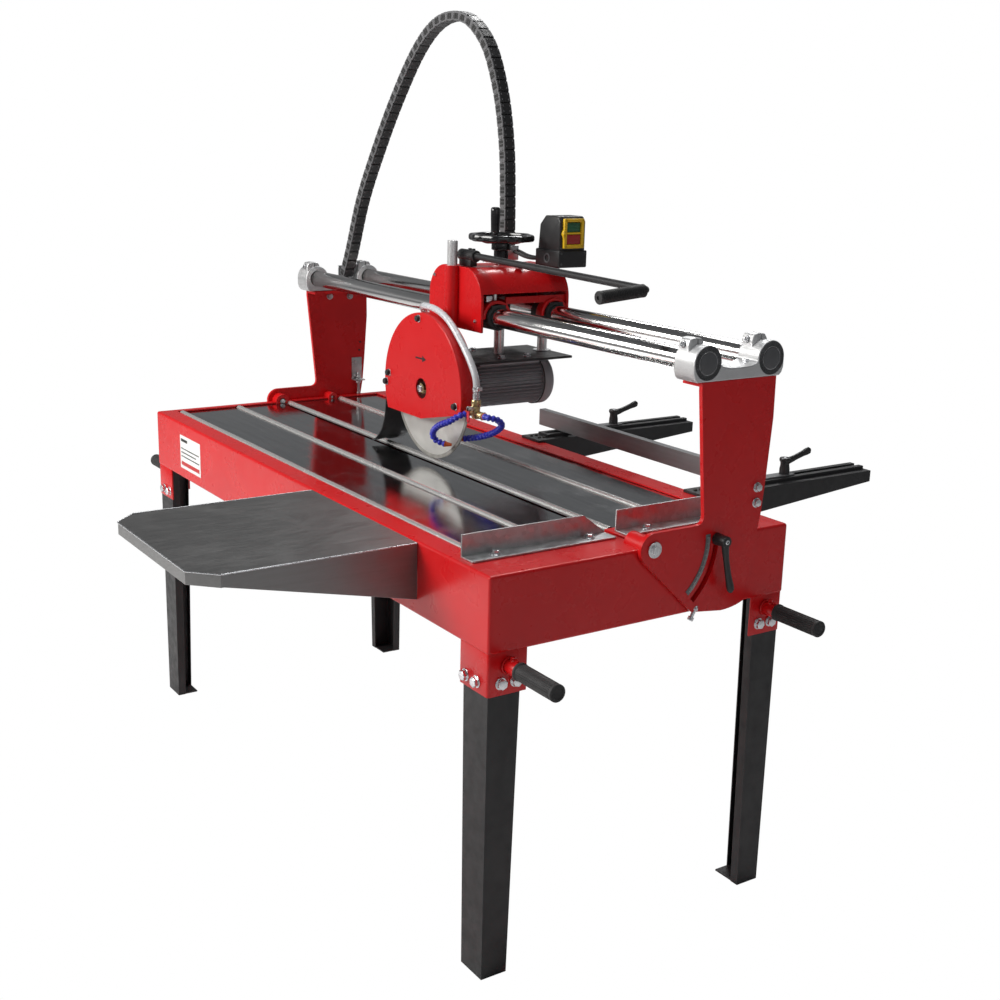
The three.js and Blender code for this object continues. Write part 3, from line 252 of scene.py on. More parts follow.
def frame_of(axis):
    w = Vector(axis).normalized(); u = w.orthogonal().normalized() if abs(w.z) > 0.9 else Z.cross(w).normalized()
    return u, w.cross(u), w
def add_lathe(bm, prof, o, axis, seg=28, mat=0, turn=0.0):
    """prof: (radius, height) pairs from one end to the other, heights along axis from o."""
    t = bmesh.new(); u, v, w = frame_of(axis); o = Vector(o); rings = []
    for r, h in prof:
        c = o + w * (h / 1000)
        if r < 1e-6: rings.append([t.verts.new(c)])
        else: rings.append([t.verts.new(c + (u * math.cos(turn + 2 * math.pi * i / seg) + v * math.sin(turn + 2 * math.pi * i / seg)) * (r / 1000)) for i in range(seg)])
    for a, b in zip(rings, rings[1:]):
        for i in range(seg):
            j = (i + 1) % seg
            if len(a) == 1 and len(b) == 1: continue
            if len(a) == 1: t.faces.new((a[0], b[j], b[i]))
            elif len(b) == 1: t.faces.new((a[i], a[j], b[0]))
            else: t.faces.new((a[i], a[j], b[j], b[i]))
    if len(rings[0]) > 1 and rings[0] is not rings[-1] and not closed_profile(prof): t.faces.new(rings[0][::-1]); t.faces.new(rings[-1])
    if closed_profile(prof): bmesh.ops.remove_doubles(t, verts=t.verts, dist=1e-7)
    merge(bm, t, mat)
def closed_profile(prof): return abs(prof[0][0] - prof[-1][0]) < 1e-9 and abs(prof[0][1] - prof[-1][1]) < 1e-9 and prof[0][0] > 1e-6
def cyl(bm, r, o, axis, length, c=0.8, seg=28, mat=0, turn=0.0):
    add_lathe(bm, [(0, 0), (r - c, 0), (r - c * 0.3, c * 0.3), (r, c), (r, length - c), (r - c * 0.3, length - c * 0.3), (r - c, length), (0, length)], o, axis, seg, mat, turn)
def ring(bm, r0, r1, o, axis, length, c=0.6, seg=32, mat=0):
    add_lathe(bm, [(r0, c), (r0, length - c), (r0 + c, length), (r1 - c, length), (r1, length - c), (r1, c), (r1 - c, 0), (r0 + c, 0), (r0, c)], o, axis, seg, mat)
def add_prism(bm, axis, pts, a, b, bevel=0.8, mat=0, seg=2, ang=28, matrix=None):
    """outline extruded: x takes (y,z), y takes (x,z), z takes (x,y)"""
    t = bmesh.new()
    def pt(p, k): return P(k, p[0], p[1]) if axis == "x" else P(p[0], k, p[1]) if axis == "y" else P(p[0], p[1], k)
    lo = [t.verts.new(pt(p, a)) for p in pts]; hi = [t.verts.new(pt(p, b)) for p in pts]; n = len(pts)
    t.faces.new(lo[::-1]); t.faces.new(hi)
    for i in range(n): j = (i + 1) % n; t.faces.new((lo[i], lo[j], hi[j], hi[i]))
    bmesh.ops.recalc_face_normals(t, faces=t.faces)
    if bevel > 0:
        e = [x for x in t.edges if x.calc_face_angle(0) > DEG(ang)]
        bmesh.ops.bevel(t, geom=e, offset=bevel / 1000, segments=seg, profile=0.5, affect="EDGES", clamp_overlap=True)
    merge(bm, t, mat, matrix)
def arc(cx, cy, r, a0, a1, n=12): return [(cx + r * math.cos(DEG(a0 + (a1 - a0) * i / n)), cy + r * math.sin(DEG(a0 + (a1 - a0) * i / n))) for i in range(n + 1)]
def path(pts, n):
    """centripetal curve through points (mm), evenly resampled; returns row-frame points"""
    p = [np.array(P(*q)) for q in pts]; p = [2 * p[0] - p[1]] + p + [2 * p[-1] - p[-2]]; out = []
    for i in range(1, len(p) - 2):
        t0 = 0; t1 = t0 + max(1e-6, np.linalg.norm(p[i] - p[i - 1])) ** 0.5; t2 = t1 + max(1e-6, np.linalg.norm(p[i + 1] - p[i])) ** 0.5; t3 = t2 + max(1e-6, np.linalg.norm(p[i + 2] - p[i + 1])) ** 0.5
        for t in np.linspace(t1, t2, 24, endpoint=False):
            a1 = (t1 - t) / (t1 - t0) * p[i - 1] + (t - t0) / (t1 - t0) * p[i]; a2 = (t2 - t) / (t2 - t1) * p[i] + (t - t1) / (t2 - t1) * p[i + 1]; a3 = (t3 - t) / (t3 - t2) * p[i + 1] + (t - t2) / (t3 - t2) * p[i + 2]
            b1 = (t2 - t) / (t2 - t0) * a1 + (t - t0) / (t2 - t0) * a2; b2 = (t3 - t) / (t3 - t1) * a2 + (t - t1) / (t3 - t1) * a3
            out.append((t2 - t) / (t2 - t1) * b1 + (t - t1) / (t2 - t1) * b2)
    out.append(p[-2]); out = np.array(out)
    s = np.concatenate([[0], np.cumsum(np.linalg.norm(np.diff(out, axis=0), axis=1))])
    k = np.linspace(0, s[-1], n)
    return [Vector((np.interp(q, s, out[:, 0]), np.interp(q, s, out[:, 1]), np.interp(q, s, out[:, 2]))) for q in k], s[-1]
def add_tube(bm, pts, radii, seg=14, mat=0, flat=1.0, up=None):
    """swept round tube through row-frame points; radii in mm, one or one per point"""
    t = bmesh.new(); n = len(pts); rr = radii if hasattr(radii, "__len__") else [radii] * n
    tan = [(pts[min(n - 1, i + 1)] - pts[max(0, i - 1)]).normalized() for i in range(n)]
    u = (up.cross(tan[0]) if up is not None else tan[0].orthogonal()).normalized(); rings = []
    for i in range(n):
        if i: u = (u - tan[i] * u.dot(tan[i])).normalized()
        v = tan[i].cross(u)
        rings.append([t.verts.new(pts[i] + (u * math.cos(2 * math.pi * k / seg) + v * math.sin(2 * math.pi * k / seg) * flat) * (rr[i] / 1000)) for k in range(seg)])
    for a, b in zip(rings, rings[1:]):
        for k in range(seg): j = (k + 1) % seg; t.faces.new((a[k], a[j], b[j], b[k]))
    t.faces.new(rings[0][::-1]); t.faces.new(rings[-1])
    merge(bm, t, mat)
def hexbolt(bm, o, axis, s=17, h=8, mat=0, washer=True, wr=None, dome=False, turn=0.3):
    """hex head across flats s, standing on o along axis"""
    R = s / 2 / math.cos(math.pi / 6); w = 2.0 if washer else 0
    if washer: add_lathe(bm, [(0, -1), (wr or s * 0.72, -1), (wr or s * 0.72, 1.6), ((wr or s * 0.72) - 0.6, w), (0, w)], o, axis, 28, mat)
    add_lathe(bm, [(0, w - 0.2), (R * 0.96, w - 0.2), (R, w + 0.6), (R, w + h - 1.4), (R * 0.90, w + h - 0.3), (R * 0.80, w + h), (0, w + h - (0 if dome else 0.5))], o, axis, 6, mat, turn)
def socket_screw(bm, o, axis, d=13, h=8, mat=0):
    r = d / 2; add_lathe(bm, [(0, -1), (r, -1), (r, h - 0.8), (r - 0.8, h), (r * 0.52, h), (r * 0.50, h - 3.5), (0, h - 3.8)], o, axis, 24, mat)
def apply_bool(ob, cutters, op="DIFFERENCE"):
    for c in cutters:
        md = ob.modifiers.new("b", "BOOLEAN"); md.operation = op; md.solver = "EXACT"; md.object = c
    dg = bpy.context.evaluated_depsgraph_get(); dg.update()
    me = bpy.data.meshes.new_from_object(ob.evaluated_get(dg), depsgraph=dg)
    ob.modifiers.clear(); old = ob.data; ob.data = me; bpy.data.meshes.remove(old)
    for c in cutters:
        m = c.data; bpy.data.objects.remove(c); bpy.data.meshes.remove(m)
    return ob
def raw(bm, name, mats=()):
    bmesh.ops.recalc_face_normals(bm, faces=bm.faces)
    me = bpy.data.meshes.new(name); bm.to_mesh(me); bm.free(); ob = bpy.data.objects.new(name, me); scene.collection.objects.link(ob)
    for m in mats: me.materials.append(m)
    return ob
def bevel_finish(ob, w, body, replaces=(), seg=3, ang=35, sharp=40):
    """round the edges of a cut solid, then set it on its body"""
    bm = bmesh.new(); bm.from_mesh(ob.data)
    bmesh.ops.remove_doubles(bm, verts=bm.verts, dist=2e-6)
    bmesh.ops.dissolve_limit(bm, angle_limit=DEG(0.6), verts=bm.verts, edges=bm.edges)
    e = [x for x in bm.edges if len(x.link_faces) == 2 and x.calc_face_angle(0) > DEG(ang)]
    if w > 0: bmesh.ops.bevel(bm, geom=e, offset=w / 1000, segments=seg, profile=0.5, affect="EDGES", clamp_overlap=True)
    bm.to_mesh(ob.data); bm.free(); ob.data.shade_smooth(); ob.data.set_sharp_from_angle(angle=DEG(sharp))
    if body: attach(ob, body)
    if replaces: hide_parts(*replaces)
    wn = ob.modifiers.new("wn", "WEIGHTED_NORMAL"); wn.keep_sharp = True; wn.weight = 60
    return ob

# ------------------------------------------------------------------ carried-over CAD nodes: materials and softened edges
def cad(names, mat, bevel=1.0, seg=2, ang=32):
    for node in ([names] if isinstance(names, str) else names):
        ob = frame["nodes"][node]; me = ob.data
        if len(me.materials) == 0: me.materials.append(mat)
        for s in ob.material_slots: s.material = mat
        at = me.attributes.get("custom_normal")
        if at is not None: me.attributes.remove(at)
        me.shade_smooth()
        w = ob.modifiers.new("weld", "WELD"); w.merge_threshold = 1e-5
        d = ob.modifiers.new("flat", "DECIMATE"); d.decimate_type = "DISSOLVE"; d.angle_limit = DEG(0.5)
        if bevel:
            b = ob.modifiers.new("bevel", "BEVEL"); b.limit_method = "ANGLE"; b.angle_limit = DEG(ang); b.width = bevel / 1000; b.segments = seg; b.use_clamp_overlap = True
        n = ob.modifiers.new("wn", "WEIGHTED_NORMAL"); n.weight = 60
FOUR = ["front_right", "front_left", "rear_right", "rear_left"]
cad(["leg_" + n for n in FOUR], BLACK, 1.4)
cad("tub_floor", RED, 0.8)
cad(["table_plate_front", "table_plate_rear"], POLISHED, 0.8)
TUBE = material("tube_chrome", (0.92, 0.91, 0.89), 0.20, 0.78, var=0.05, rvar=0.08, rscale=60, bump=0.03, bscale=240, stretch=(1, 30, 30), smudge=0.05)
cad(["support_tube_%d" % i for i in (1, 2, 3, 4)], TUBE, 0.5)
cad("side_table", BRUSHED, 0.9)
cad(["front_angle_stop", "rear_angle_stop"], GALV, 0.9)
cad(["extension_arm_left", "extension_arm_right"], BLACK, 1.8, 3)
cad("rear_fence", GREY, 2.0, 3)
cad(["upright_right", "upright_left"], RED, 2.2, 3)
cad(["pivot_bolt_right", "pivot_bolt_left"], ZINC, 0.8)
cad(["rail_bearing_front", "rail_bearing_rear"], PLASTIC, 1.2)
cad("lift_nut_tube", CHROME_V, 0.6)
cad("motor_plate", BLACK, 1.0)
cad(["guide_column_front", "guide_column_rear"], CHROME_V, 1.2)

# ------------------------------------------------------------------ tub: one folded and welded skin with corner pockets
def tub():
    bm = bmesh.new(); add_box(bm, -875, 875, -381, 381, 695, 850, 6, seg=4); ob = raw(bm, "tub_shell", [RED])
    cut = []
    def cb(*a, w=0, seg=1): b = bmesh.new(); add_box(b, *a, w, seg=seg); cut.append(raw(b, "c"))
    cb(-871, 871, -377, 377, 660, 846)
    cb(-848, 720, -330, 320, 830, 870)
    cb(715, 812, -5, 5, 830, 870)
    apply_bool(ob, cut)
    bm = bmesh.new()
    for sx in (-1, 1):
        for sy in (-1, 1):
            xs, ys, px, py, t, r = 873.6, 379.6, 98, 89, 4, 6
            o = [(xs - px, ys), (xs - r, ys)] + arc(xs - r, ys - r, r, 90, 0, 5)[1:-1] + [(xs, ys - r), (xs, ys - py), (xs - t, ys - py), (xs - t, ys - t), (xs - px, ys - t)]
            pts = [(sx * x, sy * y) for x, y in o]
            if sx * sy < 0: pts = pts[::-1]
            add_prism(bm, "z", pts, 609, 697, 0.9, seg=2, ang=40)
        for (y, r, h, a, b) in ((0, 22, 10.3, *((817, 876.6) if sx > 0 else (-876.6, -846))), (165, 15, 6.3, *((841, 876.6) if sx > 0 else (-876.6, -841)))):
            ring(bm, h, r, P(a, y, 850), X, b - a, 1.0, 40)
    ob2 = to_object(bm, "tub_pockets", [RED], "base", 40)
    bevel_finish(ob, 0.9, "base", ("tub_front_panel", "tub_rear_panel", "tub_left_end", "tub_right_end"), seg=2, ang=50, sharp=45)
tub()

def fasteners():
    bm = bmesh.new()
    for sy in (-1, 1):
        for sx in (-1, 1):
            for i, ax in enumerate((796, 836)): hexbolt(bm, P(sx * ax, sy * 379.6, 631), Y * sy, 19, 9, wr=12.5, turn=0.2 + 0.5 * i)
            for i, ay in enumerate((350, 316)): hexbolt(bm, P(sx * 873.6, sy * ay, 634), X * sx, 19, 9, wr=12.5, turn=0.1 + 0.4 * i + 0.3 * sx)
    to_object(bm, "leg_bolts", [ZINC], "base")
    bm = bmesh.new()  # thin wall inside each pocket bolt: nuts seen from inside the legs
    for sx in (-1, 1):
        for sy in (-1, 1):
            cyl(bm, 4, P(sx * 902, sy * 333, 681), Z, 4.5, 0.6, 6)
            hexbolt(bm, P(sx * 889, sy * 333, 682.2), Z, 9, 5, wr=7)
    to_object(bm, "handle_screws", [RED], "base")
fasteners()

def carry_handles():
    for n in FOUR:
        sx = 1 if "right" in n else -1; sy = 1 if "rear" in n else -1; o = P(sx * 875.3, sy * 333, 668); ax = X * sx
        bm = bmesh.new()
        cyl(bm, 15, o, ax, 39, 1.2, 40, 0)
        ring(bm, 14.5, 18.5, o, ax, 4, 1.4, 40, 0)
        prof = [(15.2, 35.5), (17.6, 35.5), (18.4, 36.6), (18.4, 41), (16.6, 43), (16.2, 44), (16.2, 150), (17.0, 151), (17.6, 153), (17.4, 156.5), (16.0, 158.2), (11.5, 158.6), (11.0, 157.6), (0, 157.4)]
        add_lathe(bm, [(0, 35.5)] + prof, o, ax, 48, 1)
        for k in range(24):  # raised flutes along the grip
            a = 2 * math.pi * k / 24; c, s = math.cos(a), math.sin(a); t = bmesh.new(); w, h0, h1 = 1.25, 46, 149; vs = []
            for h in (h0, h0 + 2, h1 - 2, h1):
                rr = 15.9 if h in (h0, h1) else 17.35
                for d in (-w, -w * 0.45, w * 0.45, w):
                    r = 15.9 if abs(d) == w else rr
                    vs.append(t.verts.new(o + ax * (h / 1000) + (Y * (c * r - s * d) + Z * (s * r + c * d)) / 1000))
            for i in range(3):
                for j in range(3): q = i * 4 + j; t.faces.new((vs[q], vs[q + 1], vs[q + 5], vs[q + 4]))
            merge(bm, t, 1)
        to_object(bm, "handle_" + n, [RED, RUBBER], "base", 34, ("carry_handle_" + n,))
carry_handles()

def plates_and_labels():
    bm = bmesh.new()
    add_box(bm, -694, -547, -381.7, -380.8, 724, 817, 0.35, 0)
    add_box(bm, -686, -640, -382.0, -381.5, 800, 808, 0.1, 1)
    add_box(bm, -686, -555, -382.0, -381.5, 733, 744, 0.1, 2)
    for k in range(3): add_box(bm, -686, -556 - 22 * (k % 2), -382.0, -381.5, 757 + 11 * k, 760 + 11 * k, 0.1, 1)
    to_object(bm, "blank_plate", [WHITE, INK_AND_SHADE, REDINK], "base")
plates_and_labels()

def table_details():
    bm = bmesh.new()
    for y in (-316, -142, 22, 191):
        for x, d in ((-843, -1), (716, 1)):
            cyl(bm, 7.6, P(x, y, 844), X * d, 2.2, 0.6, 24)
    to_object(bm, "tube_end_caps", [PLASTIC], "base")
    bm = bmesh.new()
    for y0, y1 in ((-364, -18), (12, 330)):
        for y in (y0 + 65, y1 - 55): hexbolt(bm, P(770, y, 854.2), Z, 15, 7.5, wr=11.5, turn=0.3)
    to_object(bm, "stop_bolts", [ZINC], "base")
    bm = bmesh.new()  # mounting screws of the extension arms
    for i, ax in enumerate((-60, 602)):
        for y in (372, 388):
            for d in (-16, 16): socket_screw(bm, P(ax + d * 0.9, y + (6 if d > 0 else 0), 857), Z, 9, 4)
    to_object(bm, "arm_screws", [DARKSTEEL], "base")
table_details()

def side_table_details():
    bm = bmesh.new()
    c = 50; x0, x1, y0, y1, zt = 136, 612, -847, -384, 848
    o = [(x0 - 0.2, y1), (x0 - 0.2, y0 + c), (x0 + c, y0 - 0.2), (x1 - c, y0 - 0.2), (x1 + 0.2, y0 + c), (x1 + 0.2, y1)]
    # rolled edge standing on the folded rim, drawn in brighter zinc than the brushed sheet: painted highlight
    pts = [P(px, py, zt - 1.2) for px, py in o]
    for a, b in zip(pts, pts[1:]): add_tube(bm, [a, b], 1.5, 12)
    to_object(bm, "side_table_edge", [ZINC], "base")
side_table_details()

# ------------------------------------------------------------------ bridge
def upright_details():
    zin = bmesh.new(); sc = bmesh.new(); blk = bmesh.new()
    for sx in (1, -1):
        f = sx * 887
        for z in (946, 913): hexbolt(zin, P(f, 269, z), X * sx, 15, 7, wr=10.5, turn=0.4)
        # stop bolt through the lower edge, square to it, with its nut
        a, b = P(sx * 884.6, 124, 711), P(sx * 884.6, 107, 679); d = (b - a).normalized()
        cyl(zin, 4, a, d, 26, 0.8, 20)
        hexbolt(zin, a + d * 0.004, d, 11, 6, washer=False)
        hexbolt(zin, a + d * 0.026, d, 11, 5.5, washer=True, wr=6.6)
        # curved scale beside the lock slot
        pts = [(0 + 148 * math.cos(DEG(q)), 850 + 148 * math.sin(DEG(q))) for q in np.linspace(5, -49, 28)] + [(136 * math.cos(DEG(q)), 850 + 136 * math.sin(DEG(q))) for q in np.linspace(-49, 5, 28)]
        add_prism(sc, "x", pts, f, f + sx * 1.1, 0.25, 0)
        for i, q in enumerate(np.linspace(2, -46, 49)):
            L = 7 if i % 5 == 0 else 4
            m = Matrix.Translation(P(0, 0, 850)) @ Matrix.Rotation(DEG(q), 4, "X") @ Matrix.Translation(-P(0, 0, 850))
            add_box(sc, min(f, f + sx * 1.4), max(f, f + sx * 1.4), 146.5 - L, 147.2, 849.75, 850.25, 0.05, 1, 1, m)
    to_object(zin, "upright_bolts", [ZINC], "bridge")
    to_object(sc, "tilt_scales", [SCALE, WHITE], "bridge")
    # left upright, inner face: bracket, eye nut, threaded rod, short bolts
    bm = bmesh.new(); f = -877
    for y, z in ((174, 1155), (242, 1153)): hexbolt(bm, P(f, y, z), X, 14, 7, wr=10)
    add_box(bm, f + 0.2, f + 3.4, 247, 281, 893, 963, 0.8)
    add_box(bm, f + 0.2, f + 26, 247, 281, 893, 897, 0.8)
    cyl(bm, 4, P(f + 14, 264, 852), Z, 66, 0.8, 24)
    for k in range(22): ring(bm, 3.6, 4.45, P(f + 14, 264, 856 + 2.6 * k), Z, 1.3, 0.3, 20)
    hexbolt(bm, P(f + 14, 264, 897), Z, 14, 7, washer=True, wr=9.5)
    hexbolt(bm, P(f + 14, 264, 893), -Z, 14, 7, washer=True, wr=9.5)
    add_lathe(bm, [(0, 0), (5.5, 0), (6.4, 0.8), (6.4, 4), (5.4, 5), (0, 5)], P(f + 14, 264, 851), Z, 28)
    for z in (907, 949): hexbolt(bm, P(f + 3.2, 264 - 8, z), X, 9, 4.5, washer=True, wr=6.5)
    to_object(bm, "left_bracket", [GALV], "bridge")
    bm = bmesh.new()
    # black discs in place of the two pin holes: painted shade
    for y, z in ((277, 1010), (274, 985)): cyl(bm, 3.2, P(f - 0.3, y, z), X, 0.7, 0.15, 24)
    to_object(bm, "left_pin_holes", [INK_AND_SHADE], "bridge")
upright_details()

def rail_clamps():
    for side, sx in (("right", 1), ("left", -1)):
        x0, x1 = 828, 890
        def XX(x): return sx * x
        lo, hi = (x0, x1) if sx > 0 else (-x1, -x0)
        # outline in (y, z): two rings on a shared foot with a saddle between them
        body = bmesh.new(); R = 36
        saddle = [(110 + R * math.cos(DEG(q)), 1215 + R * math.sin(DEG(q))) for q in np.linspace(180, -2, 30)]
        saddle += [(146, 1210), (152, 1206.5), (162, 1203.6), (176, 1202.2), (195, 1201.8), (214, 1202.2), (228, 1203.6), (238, 1206.5), (244, 1210)]
        saddle += [(280 + R * math.cos(DEG(q)), 1215 + R * math.sin(DEG(q))) for q in np.linspace(182, 0, 30)]
        saddle += [(316, 1196), (312, 1184), (306, 1177.6), (84, 1177.6), (78, 1184), (74, 1196)]
        add_prism(body, "x", saddle, lo, hi, 3.2, 0, 4, 40)
        ob = raw(body, "rail_clamp_cast_" + side, [CAST])
        ears = bmesh.new()
        for y in (110, 280):
            o = [(y - 31, 1222), (y - 31, 1250), (y - 26, 1261), (y - 12, 1263), (y + 4, 1261), (y + 10, 1252), (y + 12, 1232)]
            add_prism(ears, "x", o, XX(832) if sx > 0 else XX(864), XX(864) if sx > 0 else XX(832), 3.5, 0, 4, 20)
        ear = raw(ears, "ear", [CAST]); apply_bool(ob, [ear], "UNION")
        cuts = []
        for y in (110, 280):
            b = bmesh.new(); cyl(b, 22.8, P(lo - 5, y, 1215), X, hi - lo + 10, 0.01, 48); cuts.append(raw(b, "c"))
            b = bmesh.new(); add_box(b, lo - 5, hi + 5, y - 9, y - 6.4, 1230, 1275, 0); cuts.append(raw(b, "c"))
            b = bmesh.new(); cyl(b, 7.6, P(XX(848), y - 40, 1249), Y, 14, 0.01, 32); cuts.append(raw(b, "c"))
        apply_bool(ob, cuts)
        bevel_finish(ob, 1.0, "bridge", ("rail_clamp_" + side,), seg=2, ang=50, sharp=46)
        bm = bmesh.new(); pl = bmesh.new()
        for y in (110, 280):
            socket_screw(bm, P(XX(848), y - 27, 1249), -Y, 12, 8)
            # collar on the rail side
            ring(bm, 22.9, 30.5, P(XX(827.8) if sx > 0 else XX(828.8), y, 1215), X, 1.0, 0.4, 56, 1)
            cyl(pl, 22.3, P(XX(889.5), y, 1215), X * sx, 1.9, 0.8, 56)
            ring(pl, 23.4, 34.4, P(XX(889.4), y, 1215), X * sx, 0.0001 + 0.6, 0.2, 56)
        for y in (150, 240): hexbolt(bm, P(XX(859), y, 1203.4 if y == 150 else 1203.4), Z, 13, 6, wr=9.5)
        to_object(bm, "clamp_screws_" + side, [ZINC, CAST], "bridge")
        to_object(pl, "rail_plugs_" + side, [DKGREY], "bridge")
rail_clamps()

def rails():
    for n, y in (("rail_front", 110), ("rail_rear", 280)):
        bm = bmesh.new(); add_lathe(bm, [(18.5, -888.6), (22, -889.6), (22.5, -888.8), (22.5, 888.8), (22, 889.6), (18.5, 888.6), (18.5, -888.6)], P(0, y, 1215), X, 72)
        to_object(bm, n + "_ground", [CHROME], "bridge", 40, (n,))
rails()

def tilt_levers():
    for side, sx in (("right", 1), ("left", -1)):
        bm = bmesh.new(); o = P(0, 165, 850)
        def q(x, y, z): return P(sx * x, y, z)
        cyl(bm, 6, q(847, 165, 850), X * sx, 62, 0.8, 28, 1)
        add_lathe(bm, [(0, 0), (12.6, 0), (13, 1), (12.4, 12), (12.0, 20), (12.0, 30.5), (11, 32.4), (7, 33), (6.8, 32.2), (0, 32.0)], q(888, 165, 850), X * sx, 36, 0)
        add_lathe(bm, [(0, -1), (5.2, -1), (5.2, 1.2), (4.4, 2.0), (2.6, 2.0), (2.4, 0.4), (0, 0.2)], q(920, 165, 850), X * sx, 24, 1)
        pts = [q(913, 165, 850), q(914, 166, 838), q(914, 170, 815), q(914, 176, 788), q(914.2, 183, 762), q(914, 188, 746), q(913.8, 190.5, 738)]
        cur, _ = path([((p.x * 1000 - XS), (p.y * 1000 - YS), p.z * 1000) for p in pts], 22)
        rad = list(np.interp(np.linspace(0, 1, 22), [0, 0.12, 0.35, 0.7, 0.86, 0.95, 1.0], [9.6, 8.4, 6.8, 7.2, 8.8, 8.4, 4.2]))
        add_tube(bm, cur, rad, 24, 0, 0.82, up=X)
        to_object(bm, "tilt_lever_" + side, [PLASTIC, ZINC], "tilt_lock_lever_" + side, 40, ("tilt_lock_lever_" + side,))
tilt_levers()

def fence_levers():
    for side, ax in (("left", -60), ("right", 602)):
        bm = bmesh.new()
        add_lathe(bm, [(0, 0), (12, 0), (12.4, 1), (12.2, 12), (10.6, 22), (11.2, 28), (13.6, 31.5), (13.8, 36), (12.6, 38.8), (8, 39.8), (7.6, 38.8), (0, 38.6)], P(ax, 640, 870.3), Z, 36, 0)
        add_lathe(bm, [(0, -1), (5.2, -1), (5.2, 0.8), (4.4, 1.6), (2.6, 1.6), (2.4, 0.2), (0, 0)], P(ax, 640, 909), Z, 24, 1)
        cur, _ = path([(ax, 640, 899), (ax, 656, 902), (ax, 682, 909), (ax, 706, 916), (ax, 722, 920.5)], 20)
        rad = list(np.interp(np.linspace(0, 1, 20), [0, 0.12, 0.4, 0.7, 0.86, 0.95, 1.0], [10, 8.6, 7.0, 7.4, 9.0, 8.6, 4.4]))
        add_tube(bm, cur, rad, 24, 0, 0.80, up=X)
        to_object(bm, "fence_handle_" + side, [PLASTIC, ZINC], "fence_lever_" + side, 40, ("fence_lever_" + side,))
fence_levers()

